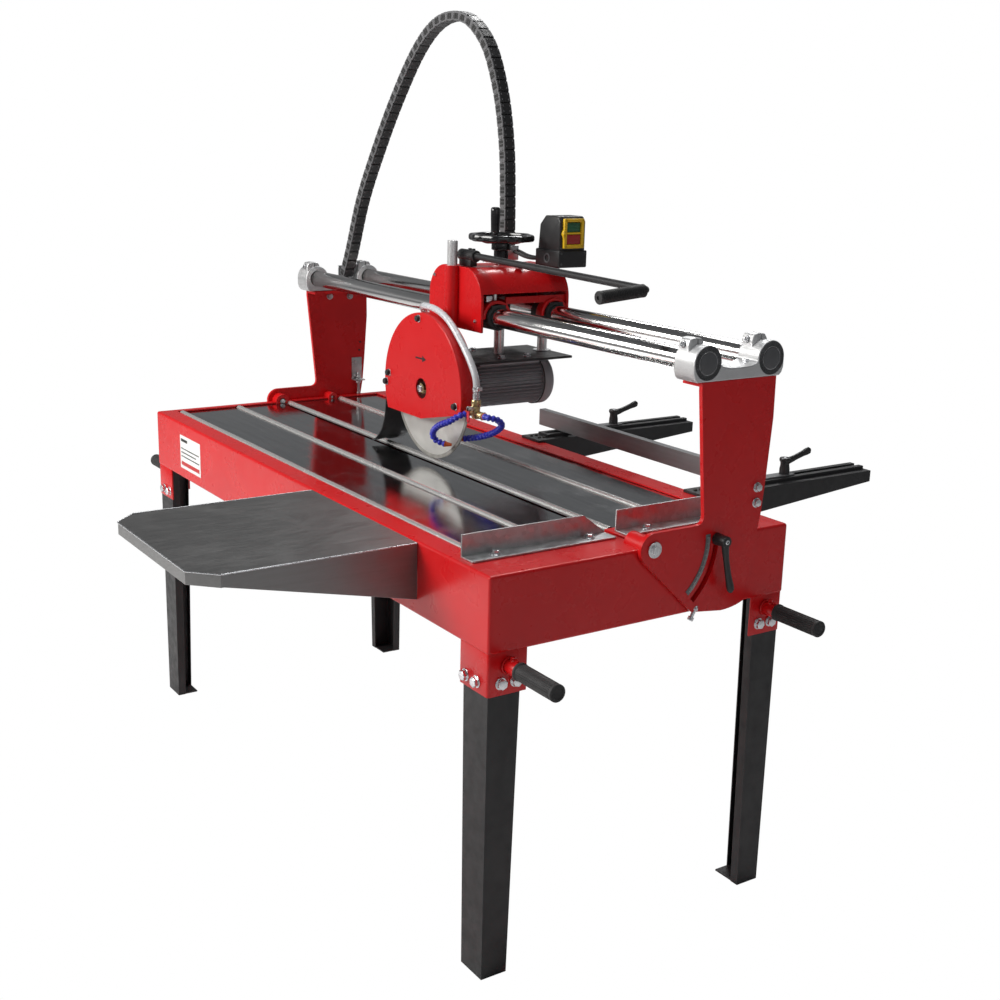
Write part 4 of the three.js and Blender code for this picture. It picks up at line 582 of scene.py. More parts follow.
# ------------------------------------------------------------------ carriage (x from the carriage's own centre)
CX = 22
def carriage_cover():
    HW, Z0, Z1, R = 120, 1180, 1329, 74
    D = [(CX + HW, Z0), (CX + HW, Z1 - R)] + arc(CX + HW - R, Z1 - R, R, 0, 90, 16)[1:] + arc(CX - HW + R, Z1 - R, R, 90, 180, 16) + [(CX - HW, Z0)]
    bm = bmesh.new()
    add_prism(bm, "y", D[::-1], 62, 69.6, 1.6, 0, 3, 40); add_prism(bm, "y", D[::-1], 312.4, 320, 1.6, 0, 3, 40)
    q = R - 5
    S = [(CX + HW - 0.6, 1271), (CX + HW - 0.6, 1272)] + arc(CX + HW - R, Z1 - R, R - 0.6, 13.5, 90, 16) + arc(CX - HW + R, Z1 - R, R - 0.6, 90, 180, 16) + [(CX - HW + 0.6, 1246)]
    I = [(CX - HW + 5, 1246), (CX - HW + 5, Z1 - R)] + arc(CX - HW + R, Z1 - R, q, 180, 90, 16)[1:] + arc(CX + HW - R, Z1 - R, q, 90, 14.5, 16) + [(CX + HW - 5, 1271)]
    add_prism(bm, "y", S + I, 66, 316, 0.9, 0, 2, 40)
    for y in (54, 328): cyl(bm, 18, P(CX, y, 1184), Z, 147, 1.6, 44)
    add_box(bm, CX - HW + 8, CX + HW - 8, 140, 250, 1247, 1255, 1)
    for x, y0 in ((CX - HW + 8, 66), (CX + HW - 14, 138)): add_box(bm, x, x + 6, y0, 316, 1245, 1262, 1)
    cyl(bm, 20, P(CX, 195, 1225), Z, 25, 1, 40)
    ob = raw(bm, "carriage_cover", [RED]); cuts = []
    for y in (54, 328): b = bmesh.new(); cyl(b, 12.9, P(CX, y, 1150), Z, 230, 0.01, 40); cuts.append(raw(b, "c"))
    b = bmesh.new(); cyl(b, 15.5, P(CX, 195, 1200), Z, 160, 0.01, 36); cuts.append(raw(b, "c"))
    # every shell is cut on its own, because the parts of the cover only touch one another
    bmc = bmesh.new(); bmc.from_mesh(ob.data); bpy.data.objects.remove(ob)
    to_cut = raw(bmc, "carriage_cover", [RED]); md = to_cut.modifiers
    for c in cuts:
        m = md.new("b", "BOOLEAN"); m.operation = "DIFFERENCE"; m.solver = "EXACT"; m.use_self = True; m.object = c
    dg = bpy.context.evaluated_depsgraph_get(); dg.update()
    me = bpy.data.meshes.new_from_object(to_cut.evaluated_get(dg), depsgraph=dg); md.clear(); to_cut.data = me
    for c in cuts: m = c.data; bpy.data.objects.remove(c); bpy.data.meshes.remove(m)
    me.shade_smooth(); me.set_sharp_from_angle(angle=DEG(42))
    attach(to_cut, "carriage"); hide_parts("carriage_body")
    wn = to_cut.modifiers.new("wn", "WEIGHTED_NORMAL"); wn.keep_sharp = True; wn.weight = 60
    # arches over the rails at the operator end, and bolts
    bm = bmesh.new()
    for y in (110, 280):
        A = arc(y, 1215, 40, -4, 184, 36) + arc(y, 1215, 32.4, 184, -4, 36)
        add_prism(bm, "x", A, CX + 92, CX + 118, 1.0, 0, 2, 40)
    to_object(bm, "rail_arches", [RED], "carriage", 40)
    bm = bmesh.new()
    add_box(bm, CX + 98, CX + 112, 82, 99, 1252, 1267, 1.8, 0)
    cyl(bm, 6, P(CX + 92, 118, 1243), Z, 30, 0.8, 28, 1)
    to_object(bm, "window_nut", [ZINC, CHROME_V], "carriage")
    bm = bmesh.new()
    for x in (CX - 70, CX + 78): hexbolt(bm, P(x, 200, 1329.2), Z, 15, 7, wr=11)
    for y in (62,):
        for x, z in ((CX - 92, 1300), (CX - 96, 1206), (CX + 96, 1206)): socket_screw(bm, P(x, y, z), -Y, 9, 4)
    to_object(bm, "cover_screws", [ZINC], "carriage")
    bm = bmesh.new()
    for x0, x1 in ((CX - 118, CX - 58), (CX + 58, CX + 124)):
        for y in (110, 280):
            for x in (x0, x1): ring(bm, 23.2, 30, P(x - (1.6 if x == x0 else 0.2), y, 1215), X, 1.8, 0.6, 44)
    to_object(bm, "rail_wipers", [RUBBER], "carriage")
    # lift nut seen in the window between the rails
    bm = bmesh.new()
    ring(bm, 15.5, 21, P(CX, 195, 1256), Z, 20, 1.4, 48)
    to_object(bm, "lift_bearing_block", [ZINC], "carriage")
carriage_cover()

def switch_box():
    z1 = 1329
    bm = bmesh.new()
    add_box(bm, CX + 43, CX + 143, 268, 353, z1 + 0.4, 1371, 3.5, 0, 4)
    o = [(CX + 48, 1369), (CX + 138, 1369), (CX + 138, 1440), (CX + 128, 1452), (CX + 76, 1452), (CX + 54, 1430)]
    add_prism(bm, "y", o, 272, 349, 3.2, 0, 4, 20)
    ob = raw(bm, "switch_housing", [PLASTIC])
    b = bmesh.new(); add_box(b, CX + 127, CX + 150, 286, 335, 1382, 1442, 0); c1 = raw(b, "c")
    b = bmesh.new(); cyl(b, 12, P(CX + 93, 262, 1350), Y, 7.5, 0.01, 36); c2 = raw(b, "c")
    md = ob.modifiers
    for c in (c1, c2): m = md.new("b", "BOOLEAN"); m.operation = "DIFFERENCE"; m.solver = "EXACT"; m.use_self = True; m.object = c
    dg = bpy.context.evaluated_depsgraph_get(); dg.update()
    me = bpy.data.meshes.new_from_object(ob.evaluated_get(dg), depsgraph=dg); md.clear(); ob.data = me
    for c in (c1, c2): m = c.data; bpy.data.objects.remove(c); bpy.data.meshes.remove(m)
    me.shade_smooth(); me.set_sharp_from_angle(angle=DEG(40))
    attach(ob, "carriage"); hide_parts("switch_box")
    bm = bmesh.new(); x = CX + 138
    # yellow surround framing the two buttons, with the latch beside it
    add_box(bm, x - 1, x + 7.4, 280.5, 289.2, 1376, 1447, 2.0, 0, 4); add_box(bm, x - 1, x + 7.4, 331.8, 340.5, 1376, 1447, 2.0, 0, 4)
    add_box(bm, x - 1, x + 7.4, 283, 338, 1439.0, 1447, 2.0, 0, 4); add_box(bm, x - 1, x + 7.4, 283, 338, 1376, 1385.2, 2.0, 0, 4)
    add_box(bm, x - 1, x + 5.4, 286, 335, 1409.8, 1414.2, 0.8, 0, 2)
    cyl(bm, 5.2, P(x + 5.0, 280.8, 1411), -Y, 4.2, 1.0, 28, 0); add_box(bm, x + 1.5, x + 9.2, 277.4, 284, 1402, 1420, 1.8, 0, 3)
    to_object(bm, "switch_bezel", [YELLOW, PLASTIC], "carriage")
    bm = bmesh.new()
    for y in (278, 343):
        for z in (1375.4,): socket_screw(bm, P(CX + 138, y, z), X, 5.5, 1.2)
    for y in (276, 345):
        for zz in (1338, 1364): socket_screw(bm, P(CX + 143, y, zz), X, 5.5, 1.2)
    ring(bm, 8, 12.4, P(CX + 93, 270, 1350), -Y, 3.2, 0.8, 36)
    to_object(bm, "switch_screws", [DKGREY], "carriage")
    for n, z0, z1b, x1, m, b in (("start_button", 1415, 1438, 141, GREEN, "start_button"), ("stop_button", 1386, 1409, 143, REDB, "stop_button")):
        bm = bmesh.new()
        add_box(bm, CX + 133, CX + x1, 290.0, 331.0, z0 + 0.1, z1b - 0.1, 2.2, 0, 4)
        add_box(bm, CX + x1 - 1, CX + x1 + 0.45, 296, 325, z0 + 4, z1b - 4, 0.5, 0, 2)
        to_object(bm, n + "_cap", [m], b, 40, (n,))
switch_box()

def push_handle():
    bm = bmesh.new()
    add_box(bm, CX - 12, CX + 40, 80, 100, 1329.4, 1350, 2, 0, 3)
    add_lathe(bm, [(0, 0), (12.6, 0), (14, 1.4), (14, 66.6), (12.6, 68), (8.6, 68), (8.2, 67), (0, 67)], P(CX - 16, 90, 1355), X, 44, 0)
    socket_screw(bm, P(CX + 22, 90, 1368.4), Z, 9, 4); socket_screw(bm, P(CX + 38, 90, 1368.4), Z, 9, 4)
    # bent bar: out along the rail side, round a bend and into the grip
    def zb(x): return 1356.5 - 0.021 * x
    pts = [(CX + x, 90, zb(x)) for x in (36, 120, 240, 360, 480, 580, 640, 668)] + [(CX + 686, 88.5, zb(688)), (CX + 698, 82, zb(698) - 0.2), (CX + 703, 70, 1340.4), (CX + 703, 56, 1339.0), (CX + 703, 30, 1336.9)]
    c, _ = path(pts, 90); add_tube(bm, c, 8, 28, 0)
    to_object(bm, "push_bar", [BLACK], "carriage", 40, ("push_handle",))
    # ribbed rubber grip
    bm = bmesh.new(); o = P(CX + 703, 74, 1335 + 74 * math.sin(DEG(5))); ax = Vector((0, -math.cos(DEG(5)), -math.sin(DEG(5))))
    prof = [(0, 0), (12.0, 0), (13.6, 1.2), (13.6, 5.5), (12.4, 6.6)]
    n = 24
    for k in range(n):
        h = 8 + k * 4.1; prof += [(12.2, h), (13.3, h + 0.7), (13.3, h + 2.9), (12.2, h + 3.6)]
    prof += [(12.6, 107.6), (13.6, 108.6), (13.6, 114), (12.6, 115.6), (4.2, 116), (4.0, 113), (0, 113)]
    add_lathe(bm, prof, o, ax, 44)
    to_object(bm, "push_grip", [RUBBER], "carriage", 30)
push_handle()

def handwheel():
    bm = bmesh.new(); C = (CX, 195)
    # lobed rim as a swept ring
    n = 160; t = bmesh.new(); rings = []
    for i in range(n):
        a = 2 * math.pi * i / n; ro = 79.6 + 3.0 * math.cos(8 * a); ri = 62.0 + 0.8 * math.cos(8 * a)
        sec = [(ri, 1390.5), (ri + 1.0, 1387.6), (ri + 3.8, 1386.2), (ro - 4.6, 1386.2), (ro - 1.4, 1388.0), (ro, 1391.4), (ro, 1397.6), (ro - 1.4, 1401.0), (ro - 4.6, 1402.8), (ri + 3.8, 1402.8), (ri + 1.0, 1401.4), (ri, 1398.5)]
        rings.append([t.verts.new(P(C[0] + r * math.cos(a), C[1] + r * math.sin(a), z)) for r, z in sec])
    for i in range(n):
        A, B = rings[i], rings[(i + 1) % n]
        for k in range(12): j = (k + 1) % 12; t.faces.new((A[k], B[k], B[j], A[j]))
    merge(bm, t, 0)
    for k in range(3):
        a = DEG(20 + 120 * k); pts = []
        for r, dz in ((14, 1386), (28, 1384.8), (44, 1385.2), (56, 1389.5), (66, 1393.5)):
            b = a + 0.16 * math.sin((r - 14) / 52 * math.pi); pts.append((C[0] + r * math.cos(b), C[1] + r * math.sin(b), dz))
        c, _ = path(pts, 16); add_tube(bm, c, list(np.linspace(10.5, 8.2, 16)), 20, 0, 0.52, up=Z)
    add_lathe(bm, [(0, 0), (17.5, 0), (18, 0.6), (18, 32), (24, 34.5), (24.2, 36), (24.2, 54), (22.8, 58), (19, 61.2), (12, 62.6), (11, 62.0), (10.6, 60.8), (0, 60.8)], P(*C, 1330.6), Z, 52, 0)
    cyl(bm, 7.4, P(*C, 1389.5), Z, 5, 0.8, 32, 1)
    ring(bm, 18.2, 21, P(*C, 1330.8), Z, 9, 0.8, 44, 1)
    cyl(bm, 7.7, P(*C, 1185.4), Z, 150, 0.8, 32, 1)
    for k in range(40): ring(bm, 7.2, 8.25, P(*C, 1190 + 3.4 * k), Z, 1.8, 0.4, 28, 1)
    cyl(bm, 7.5, P(CX - 62, 217, 1396), Z, 6.9, 0.8, 28, 0)
    to_object(bm, "handwheel_cast", [GLOSSP, CHROME_V], "handwheel", 36, ("handwheel",))
    bm = bmesh.new()
    add_lathe(bm, [(0, 0), (10.2, 0), (11.2, 1.2), (11.0, 6), (11.4, 20), (12.0, 40), (12.2, 52), (11.6, 57), (9.2, 60.0), (5.2, 60.6), (4.6, 59.8), (0, 59.6)], P(CX - 62, 217, 1403.6), Z, 40)
    to_object(bm, "crank_grip", [GLOSSP], "crank_knob", 40, ("crank_knob",))
handwheel()

# ------------------------------------------------------------------ cutting head
def motor():
    C = P(CX, 0, 1035); bm = bmesh.new()
    def at(y): return P(CX, y, 1035)
    # drum, front bearing housing, fan cowl
    add_lathe(bm, [(0, 62), (40, 62), (52, 66), (61, 70), (62, 72), (62, 100), (60, 103), (54, 104), (53, 106), (53, 294), (0, 294)], P(CX, 0, 1035), Y, 72, 0)
    cyl(bm, 40, at(20.4), Y, 44, 1.5, 56, 0)
    for k in range(40):  # long cooling fins
        a = 2 * math.pi * k / 40 + 0.05
        if abs(math.degrees(math.atan2(math.sin(a - math.pi / 2), math.cos(a - math.pi / 2)))) < 30: continue
        m = Matrix.Translation(C) @ Matrix.Rotation(a, 4, "Y") @ Matrix.Translation(-C)
        t = bmesh.new()
        sec = [(52, -1.9), (62.4, -1.0), (63.4, -0.6), (63.4, 0.6), (62.4, 1.0), (52, 1.9)]
        ends = []
        for y, s in ((104, 0.0), (107, 1.0), (290, 1.0), (295, 0.4)):
            ends.append([t.verts.new(P(CX + 52 + (r - 52) * (s if s > 0 else 0.1), y, 1035 + w)) for r, w in sec])
        for A, B in zip(ends, ends[1:]):
            for i in range(6): j = (i + 1) % 6; t.faces.new((A[i], A[j], B[j], B[i]))
        t.faces.new(ends[0][::-1]); t.faces.new(ends[-1]); merge(bm, t, 0, m)
    add_box(bm, CX - 46, CX + 46, 110, 290, 1085, 1100, 1.5, 0)
    add_lathe(bm, [(0, 294), (60.5, 294), (63.2, 295.5), (64, 298), (64, 316), (63, 322), (60, 326.4), (55, 328.8), (48, 329.8), (0, 329.8)], P(CX, 0, 1035), Y, 72, 1)
    ring(bm, 60.6, 64.1, at(295), Y, 3.4, 0.7, 72, 2)
    for r in (14, 22, 30, 38, 46): ring(bm, r - 1.1, r + 1.1, at(329.2), Y, 0.9, 0.2, 60, 2)
    to_object(bm, "motor_finned", [MOTOR, COWL, DARKSTEEL], "head", 34, ("motor",))
    bm = bmesh.new()
    for x in (CX - 62, CX + 72):
        for y in (157, 233): hexbolt(bm, P(x, y, 1106.8), Z, 14, 6, wr=10.5)
    for y in (54, 328): ring(bm, 12.6, 23, P(CX, y, 1106.8), Z, 2.6, 0.8, 48, 1)
    to_object(bm, "motor_plate_fixings", [ZINC, CAST], "head")
    bm = bmesh.new(); add_box(bm, CX - 58, CX + 68, 292, 318, 1092.6, 1100.2, 1.4, 0); add_box(bm, CX - 58, CX + 68, 100, 108, 1092.6, 1100.2, 1.4, 0)
    to_object(bm, "motor_foot_bars", [ZINC], "head")
motor()

def guard():
    R, c = 184, (CX, 1035)
    def outline(r, zr, zl, n=64):
        aR = math.degrees(math.asin((zr - 1035) / r)); aL = 180 - math.degrees(math.asin((zl - 1035) / r))
        return [(CX + r * math.cos(DEG(aL)), zl), (CX, zl)] + arc(CX, 1035, r, aR, aL, n)
    o = outline(R, 1000, 960)
    q = math.degrees(math.asin((1003 - 1035) / (R - 3.5)))
    i = [(CX - 190, 900), (CX - 190, 1003)] + arc(CX, 1035, R - 3.5, 180 - q, q, 64) + [(CX + 190, 1003), (CX + 190, 900)]
    bm = bmesh.new(); add_prism(bm, "y", o[::-1], -30, 14, 0); ob = raw(bm, "blade_guard_shell", [RED])
    cuts = []
    b = bmesh.new(); add_prism(b, "y", i[::-1], -27, 11, 0); cuts.append(raw(b, "c"))
    b = bmesh.new(); cyl(b, 25, P(CX, -40, 1035), Y, 20, 0.01, 56); cuts.append(raw(b, "c"))
    b = bmesh.new(); cyl(b, 30, P(CX, 5, 1035), Y, 20, 0.01, 56); cuts.append(raw(b, "c"))
    apply_bool(ob, cuts)
    b = bmesh.new(); b.from_mesh(ob.data); bmesh.ops.remove_doubles(b, verts=b.verts, dist=2e-6); bmesh.ops.dissolve_limit(b, angle_limit=DEG(0.5), verts=b.verts, edges=b.edges)
    cc = P(CX, 0, 1035)
    def rim(e, y): return all(abs(v.co.y - P(0, y, 0).y) < 1e-5 and math.hypot(v.co.x - cc.x, v.co.z - cc.z) > 0.1835 for v in e.verts) and e.calc_face_angle(0) > DEG(60)
    bmesh.ops.bevel(b, geom=[e for e in b.edges if rim(e, -30)], offset=0.0028, segments=5, profile=0.5, affect="EDGES", clamp_overlap=False)
    bmesh.ops.bevel(b, geom=[e for e in b.edges if rim(e, 14)], offset=0.0015, segments=3, profile=0.5, affect="EDGES", clamp_overlap=False)
    b.to_mesh(ob.data); b.free()
    me = ob.data; me.shade_smooth(); me.set_sharp_from_angle(angle=DEG(40))
    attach(ob, "head"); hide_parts("blade_guard")
    wn = ob.modifiers.new("wn", "WEIGHTED_NORMAL"); wn.keep_sharp = True; wn.weight = 60
    bm = bmesh.new(); add_box(bm, CX - 30, CX + 30, 14, 35.7, 1070, 1099.9, 1.2, 0)
    ring(bm, 25.2, 29.5, P(CX, -30.8, 1035), Y, 1.2, 0.5, 60, 0)
    to_object(bm, "guard_bracket", [RED], "head")
    bm = bmesh.new()
    for x, z in ((6, 1204), (-152, 1026), (-140, 1050), (180, 1017)):
        add_lathe(bm, [(0, 0), (6.5, 0), (7.6, 0.8), (8.0, 3), (7.6, 6.2), (6.2, 8.2), (3.2, 9.2), (0, 9.4)], P(x, -30.2, z), -Y, 28, 0)
        cyl(bm, 9.4, P(x, -29.8, z), -Y, 1.2, 0.3, 28, 1)
    to_object(bm, "guard_knobs", [PLASTIC, ZINC], "head")
    bm = bmesh.new()  # plain turning-direction arrow
    add_prism(bm, "y", [(-6, 1106), (-6, 1110), (26, 1110), (26, 1116), (44, 1108), (26, 1100), (26, 1106)], -30.5, -30.05, 0.1, 0)
    to_object(bm, "turn_arrow", [INK_AND_SHADE], "head")
guard()

def blade():
    bm = bmesh.new(); C = P(CX, 0, 1035)
    add_lathe(bm, [(22, -1.1), (166, -1.1), (166.6, -1.1), (166.6, 1.1), (166, 1.1), (22, 1.1), (22, -1.1)], C, Y, 128, 0)
    add_lathe(bm, [(165.6, -1.25), (166.4, -1.5), (174.4, -1.5), (175, -1.0), (175, 1.0), (174.4, 1.5), (166.4, 1.5), (165.6, 1.25), (165.6, -1.25)], C, Y, 160, 1)
    add_lathe(bm, [(0, -9), (19, -9), (22, -7), (30, -6), (31, -4.6), (31, -1.0), (31, 1.0), (31, 4.6), (30, 6), (22, 8), (0, 8.5)], C, Y, 56, 2)
    cyl(bm, 8.6, P(CX, -37, 1035), Y, 53, 1.0, 32, 2)
    for k in range(5): ring(bm, 8.0, 9.1, P(CX, -36 + 1.9 * k, 1035), Y, 1.0, 0.3, 28, 2)
    add_lathe(bm, [(0, -31.5), (11.4, -31.5), (13.4, -30.2), (13.4, -20), (0, -20)], C, Y, 6, 3, 0.2)
    for k in range(8): ring(bm, 8.0, 9.1, P(CX, -23 + 1.9 * k, 1035), Y, 1.0, 0.3, 28, 2)
    R = 14.2; add_lathe(bm, [(0, -19.4), (R * 0.86, -19.4), (R, -18.4), (R, -9), (0, -9)], C, Y, 6, 2, 0.35)
    to_object(bm, "blade_disc", [BLADE, RIMM, ZINC, BRASS], "blade", 30, ("diamond_blade",))
blade()

def flap():
    pts = [(-186, 1003), (-190, 960), (-196, 926), (-210, 894), (-238, 866), (-262, 857)]
    n = 30; A = np.array(pts, float); s = np.concatenate([[0], np.cumsum(np.linalg.norm(np.diff(A, axis=0), axis=1))]); k = np.linspace(0, s[-1], n)
    c = [(np.interp(q, s, A[:, 0]), np.interp(q, s, A[:, 1])) for q in k]
    for _ in range(3): c = [c[0]] + [((c[i - 1][0] + 2 * c[i][0] + c[i + 1][0]) / 4, (c[i - 1][1] + 2 * c[i][1] + c[i + 1][1]) / 4) for i in range(1, n - 1)] + [c[-1]]
    bm = bmesh.new(); m = 14; top = []; bot = []
    for i, (x, z) in enumerate(c):
        a, b = c[max(0, i - 1)], c[min(n - 1, i + 1)]; l = math.hypot(b[0] - a[0], b[1] - a[1]); nx, nz = -(b[1] - a[1]) / l, (b[0] - a[0]) / l
        ft = i / (n - 1); r0, r1 = [], []
        for j in range(m + 1):
            u = j / m; y = -25 + (87) * u; w = 2.2 * math.sin(u * 9 + 1.2) * ft + 1.5 * math.sin(ft * 6.0) * math.cos(u * 5)
            X0 = CX + x + nx * (w * 0.5 + 0.4); Z0 = z + nz * (w * 0.5 + 0.4)
            r0.append(bm.verts.new(P(X0, y, Z0))); r1.append(bm.verts.new(P(X0 + nx * 3.2, y, Z0 + nz * 3.2)))
        top.append(r0); bot.append(r1)
    for i in range(n - 1):
        for j in range(m):
            bm.faces.new((top[i][j], top[i][j + 1], top[i + 1][j + 1], top[i + 1][j])); bm.faces.new((bot[i][j], bot[i + 1][j], bot[i + 1][j + 1], bot[i][j + 1]))
    for i in range(n - 1):
        bm.faces.new((top[i][0], top[i + 1][0], bot[i + 1][0], bot[i][0])); bm.faces.new((top[i][m], bot[i][m], bot[i + 1][m], top[i + 1][m]))
    for j in range(m): bm.faces.new((top[0][j], bot[0][j], bot[0][j + 1], top[0][j + 1])); bm.faces.new((top[-1][j], top[-1][j + 1], bot[-1][j + 1], bot[-1][j]))
    to_object(bm, "flap_sheet", [FLAP], "head", 50, ("splash_flap",))
    bm = bmesh.new()
    add_box(bm, CX - 189.5, CX - 186.0, -22, 58, 984, 1000, 0.8, 0)
    for y in (-14, 18, 50): socket_screw(bm, P(CX - 189.4, y, 992), -X, 8, 3.2)
    to_object(bm, "flap_clamp", [ZINC], "head")
flap()

def water():
    # clear supply hose, from the fitting on the motor plate over the guard to the valve
    R = [(-82, 48, 1125.8), (-82, 48, 1150), (-82, 42, 1182), (-80, 26, 1207), (-58, 6, 1226), (-20, -8, 1233), (29, -8, 1230), (82, -8, 1213), (140, -8, 1172), (189, -8, 1124), (211, -8, 1092), (215, -8, 1074), (215, -8, 1060.5)]
    c, L = path([(CX + x, y, z) for x, y, z in R], 120)
    bm = bmesh.new(); add_tube(bm, c, 8, 28, 0)
    ob = to_object(bm, "supply_hose", [CLEAR], "head", 60, ("water_hose",))
    bm = bmesh.new()
    cyl(bm, 9.2, P(CX - 82, 48, 1106.9), Z, 18.6, 1.0, 32, 0); hexbolt(bm, P(CX - 82, 48, 1106.8), Z, 20, 7, washer=False)
    to_object(bm, "hose_barb", [BRASS], "head")
    vx = CX + 215; bm = bmesh.new()
    # ball valve: hose tail, body, tee and the two outlet nipples
    add_lathe(bm, [(0, 0), (7.8, 0), (7.8, 3), (9.0, 3.6), (9.0, 7), (7.6, 7.8), (9.0, 8.6), (9.0, 12), (7.6, 12.8), (8.6, 14), (8.6, 20), (0, 20)], P(vx, -8, 1059.6), -Z, 32, 1)
    cyl(bm, 11.8, P(vx, -8, 1042), -Z, 16, 2.4, 36, 0)
    hexbolt(bm, P(vx, -8, 1027), -Z, 19, 7, washer=False, mat=0, turn=0.2)
    cyl(bm, 9.6, P(vx, -8, 1023), -Z, 26, 1.4, 32, 0)
    cyl(bm, 8.4, P(CX + 186, -8, 1008), X, 64, 1.6, 32, 0)
    cyl(bm, 5.4, P(vx, -8, 1022), -Y, 18, 0.6, 28, 1)
    for x in (186, 244): ring(bm, 6.5, 10.2, P(CX + x, -8, 1008), X, 6, 1.2, 6, 0)
    to_object(bm, "ball_valve", [BRASS, ZINC], "head", 34, ("water_valve",))
    bm = bmesh.new()  # worm clamp on the hose
    ring(bm, 8.0, 10.0, P(vx, -8, 1064), Z, 8, 0.8, 40, 0); add_box(bm, vx + 7, vx + 16, -15, -1, 1063, 1073, 1.2, 0)
    to_object(bm, "hose_clamp", [ZINC], "head")
    bm = bmesh.new()
    add_lathe(bm, [(0, 0), (6.2, 0), (6.6, 0.8), (6.6, 3.4), (5.8, 4.2), (0, 4.2)], P(vx, -26.4, 1022), -Y, 28, 1)
    pts = [(vx - 5, 1026), (vx + 5, 1026), (vx + 5.6, 1010), (vx + 5.0, 996), (vx + 3.2, 989.4), (vx - 3.2, 989.4), (vx - 5.0, 996), (vx - 5.6, 1010)]
    add_prism(bm, "y", pts, -30.6, -27.4, 1.1, 0, 3, 30)
    to_object(bm, "valve_handle", [REDLEVER, ZINC], "valve_lever", 40, ("valve_lever",))
    # ball-jointed coolant nozzles
    A = [(194, -20, 1006), (190, -36, 1002), (168, -50, 986), (122, -54, 966), (92, -50, 944), (84, -40, 926), (100, -26, 917), (116, -12, 915)]
    B = [(251, -8, 1008), (262, -8, 1008), (272, 14, 1002), (262, 34, 986), (225, 40, 962), (175, 34, 942), (138, 22, 932), (114, 10, 926)]
    for nm, rep, Q in (("nozzle_hose_front", "spray_hose_front", A), ("nozzle_hose_rear", "spray_hose_rear", B)):
        _, L = path([(CX + x, y, z) for x, y, z in Q], 10); n = int(L * 1000 / 11.0); c, L = path([(CX + x, y, z) for x, y, z in Q], n * 10 + 1)
        bm = bmesh.new(); prof = [5.2, 6.3, 7.3, 7.9, 8.0, 7.9, 7.3, 6.6, 5.6, 5.0]; rad = [prof[i % 10] for i in range(n * 10 + 1)]
        k0 = len(rad) - 16; add_tube(bm, c[:k0 + 1], rad[:k0 + 1], 24, 0)
        tip = list(np.interp(np.linspace(0, 1, len(c) - k0), [0, 0.12, 0.2, 1.0], [7.2, 7.6, 6.4, 3.4])); add_tube(bm, c[k0:], tip, 24, 1)
        d = (c[1] - c[0]).normalized(); cyl(bm, 8.6, c[0] - d * 0.004, d, 9, 1.4, 6, 1)
        to_object(bm, nm, [BLUE, ORANGE], "head", 50, (rep,))
water()

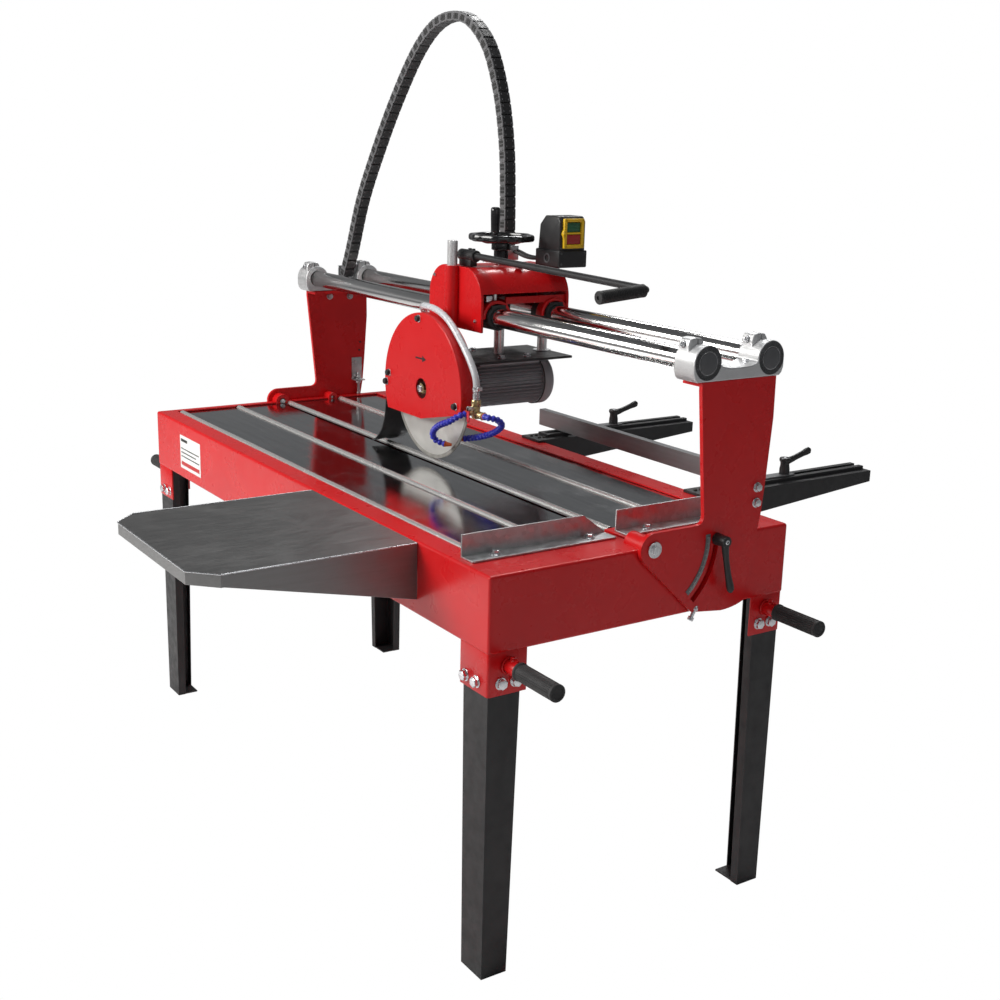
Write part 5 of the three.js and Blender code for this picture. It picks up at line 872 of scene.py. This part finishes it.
# ------------------------------------------------------------------ cable chain: links between side plates, carrying the cables
def chain():
    p0, p1 = (-862, 222), (-80, 285); L = math.hypot(p1[0] - p0[0], p1[1] - p0[1]); d = ((p1[0] - p0[0]) / L, (p1[1] - p0[1]) / L)
    sz = [[0, 1218], [10, 1238], [36, 1296], [95, 1445], [178, 1589], [270, 1726], [371, 1850], [440, 1906], [495, 1929], [548, 1934], [600, 1925], [645, 1898], [692, 1848], [740, 1740], [768, 1610], [777, 1479], [779, 1399], [781, 1345]]
    c, S = path([(p0[0] + d[0] * s, p0[1] + d[1] * s, z) for s, z in sz], 900)
    across = Vector((-d[1], d[0], 0)); n = int(S / 0.0285); pitch = S / n
    def at(s):
        f = min(max(s / S * 899, 0), 899); i = min(int(f), 898); return c[i].lerp(c[i + 1], f - i)
    bm = bmesh.new()
    for k in range(n):
        s = (k + 0.5) * pitch; a, b = at(s - pitch / 2), at(s + pitch / 2); t = (b - a).normalized(); up = across.cross(t).normalized(); o = (a + b) / 2
        M = Matrix((t, across, up)).transposed().to_4x4(); M.translation = o
        def bx(x0, x1, y0, y1, z0, z1, w, mat, sg=1):
            q = bmesh.new(); bmesh.ops.create_cube(q, size=1, matrix=Matrix.Translation(((x0 + x1) / 2000, (y0 + y1) / 2000, (z0 + z1) / 2000)) @ Matrix.Diagonal(((x1 - x0) / 1000, (y1 - y0) / 1000, (z1 - z0) / 1000, 1)))
            if w: bmesh.ops.bevel(q, geom=q.edges[:], offset=w / 1000, segments=sg, profile=0.5, affect="EDGES", clamp_overlap=True)
            merge(bm, q, mat, M)
        for e in (-1, 1):
            # one plate per side, stepped: its front end laps the next link
            q = bmesh.new(); h = 11.6; pts = [(-13.5, -8.6), (-10.5, -h), (12, -h), (18.5, -7.2), (19.6, 0), (18.5, 7.2), (12, h), (-10.5, h), (-13.5, 8.6)]
            y0, y1 = (14.6, 17.4)
            lo = [q.verts.new(Vector((x / 1000, e * y0 / 1000, z / 1000))) for x, z in pts]; hi = [q.verts.new(Vector((x / 1000, e * y1 / 1000, z / 1000))) for x, z in pts]
            q.faces.new(lo); q.faces.new(hi[::-1])
            for i in range(len(pts)): j = (i + 1) % len(pts); q.faces.new((lo[i], hi[i], hi[j], lo[j]))
            bmesh.ops.recalc_face_normals(q, faces=q.faces)
            ed = [x for x in q.edges if abs(x.verts[0].co.y - x.verts[1].co.y) < 1e-7 and abs(x.verts[0].co.y) > 0.017]
            bmesh.ops.bevel(q, geom=ed, offset=0.0008, segments=1, profile=0.5, affect="EDGES", clamp_overlap=True)
            merge(bm, q, 0, M)
            q = bmesh.new(); r = 4.6
            bmesh.ops.create_cone(q, cap_ends=True, segments=12, radius1=r / 1000, radius2=(r - 0.6) / 1000, depth=0.0012, matrix=Matrix.Translation((13.0 / 1000, e * 17.5 / 1000, 0)) @ Matrix.Rotation(-e * math.pi / 2, 4, "X"))
            merge(bm, q, 0, M)
            bx(-8.6, -1.6, e * 17.75 - 0.4, e * 17.75 + 0.4, -7.2, 7.2, 0.0, 2)   # slot in the plate, drawn as a thin black box: painted shade in the opening
            bx(0.4, 6.4, e * 17.75 - 0.4, e * 17.75 + 0.4, -7.2, 7.2, 0.0, 2)
        for e in (-1, 1):
            bx(-13.4, 13.4, -14.5, 14.5, e * 10.8 - 1.4, e * 10.8 + 1.4, 0.9, 1)
            for x in (-7, 7): bx(x - 2.2, x + 2.2, 8.6, 11.6, e * 12.25 - 0.35, e * 12.25 + 0.2, 0, 0); bx(x - 2.2, x + 2.2, -11.6, -8.6, e * 12.25 - 0.35, e * 12.25 + 0.2, 0, 0)
    for oy, oz, r in ((-6.0, 0, 5.2), (6.0, 1.0, 4.2)):
        m = 240; pts = []
        for i in range(m):
            s = 0.004 + (S - 0.008) * i / (m - 1); a, b = at(s - 0.004), at(s + 0.004); t = (b - a).normalized(); up = across.cross(t).normalized()
            pts.append(at(s) + across * (oy / 1000) + up * ((oz + 1.2 * math.sin(i * 0.21 + oy)) / 1000))
        add_tube(bm, pts, r, 10, 3)
    ob = to_object(bm, "link_chain", [CHAINGREY, PLASTIC, INK_AND_SHADE, RUBBER], None, 34, ("cable_chain",))
    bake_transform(ob)
    # end brackets
    bm = bmesh.new(); cx, cy = p0
    add_box(bm, -884, -838, 206, 240, 1203.6, 1208.4, 1.0); add_box(bm, -884, -880, 206, 240, 1206, 1246, 1.0)
    to_object(bm, "chain_bracket_bridge", [GALV], "bridge")
    bm = bmesh.new()
    add_box(bm, -100, -60, 268, 303, 1329.4, 1333.4, 1.0); add_box(bm, -62.5, -58.5, 268, 303, 1330, 1366, 1.0)
    to_object(bm, "chain_bracket_carriage", [GALV], "carriage")
chain()

def switch_cable():
    for k, (dy, dz) in enumerate(((0, 0), (11, 3))):
        c, L = path([(-66, 289 + dy, 1352 + dz), (-50, 291 + dy, 1349 + dz), (-20, 294 + dy, 1342 + dz), (12, 296 + dy, 1340 + dz), (42, 297 + dy, 1343 + dz), (65.5, 297 + dy, 1347 + dz)], 60)
        bm = bmesh.new(); add_tube(bm, c, 3.8, 16, 0)
        ob = to_object(bm, "switch_cable_%d" % (k + 1), [RUBBER], "carriage", 60)
        bm = bmesh.new(); ring(bm, 3.9, 7.2, P(65.4, 297 + dy, 1347 + dz), -X, 7, 1.0, 6, 0); to_object(bm, "cable_gland_%d" % (k + 1), [PLASTIC], "carriage")
switch_cable()
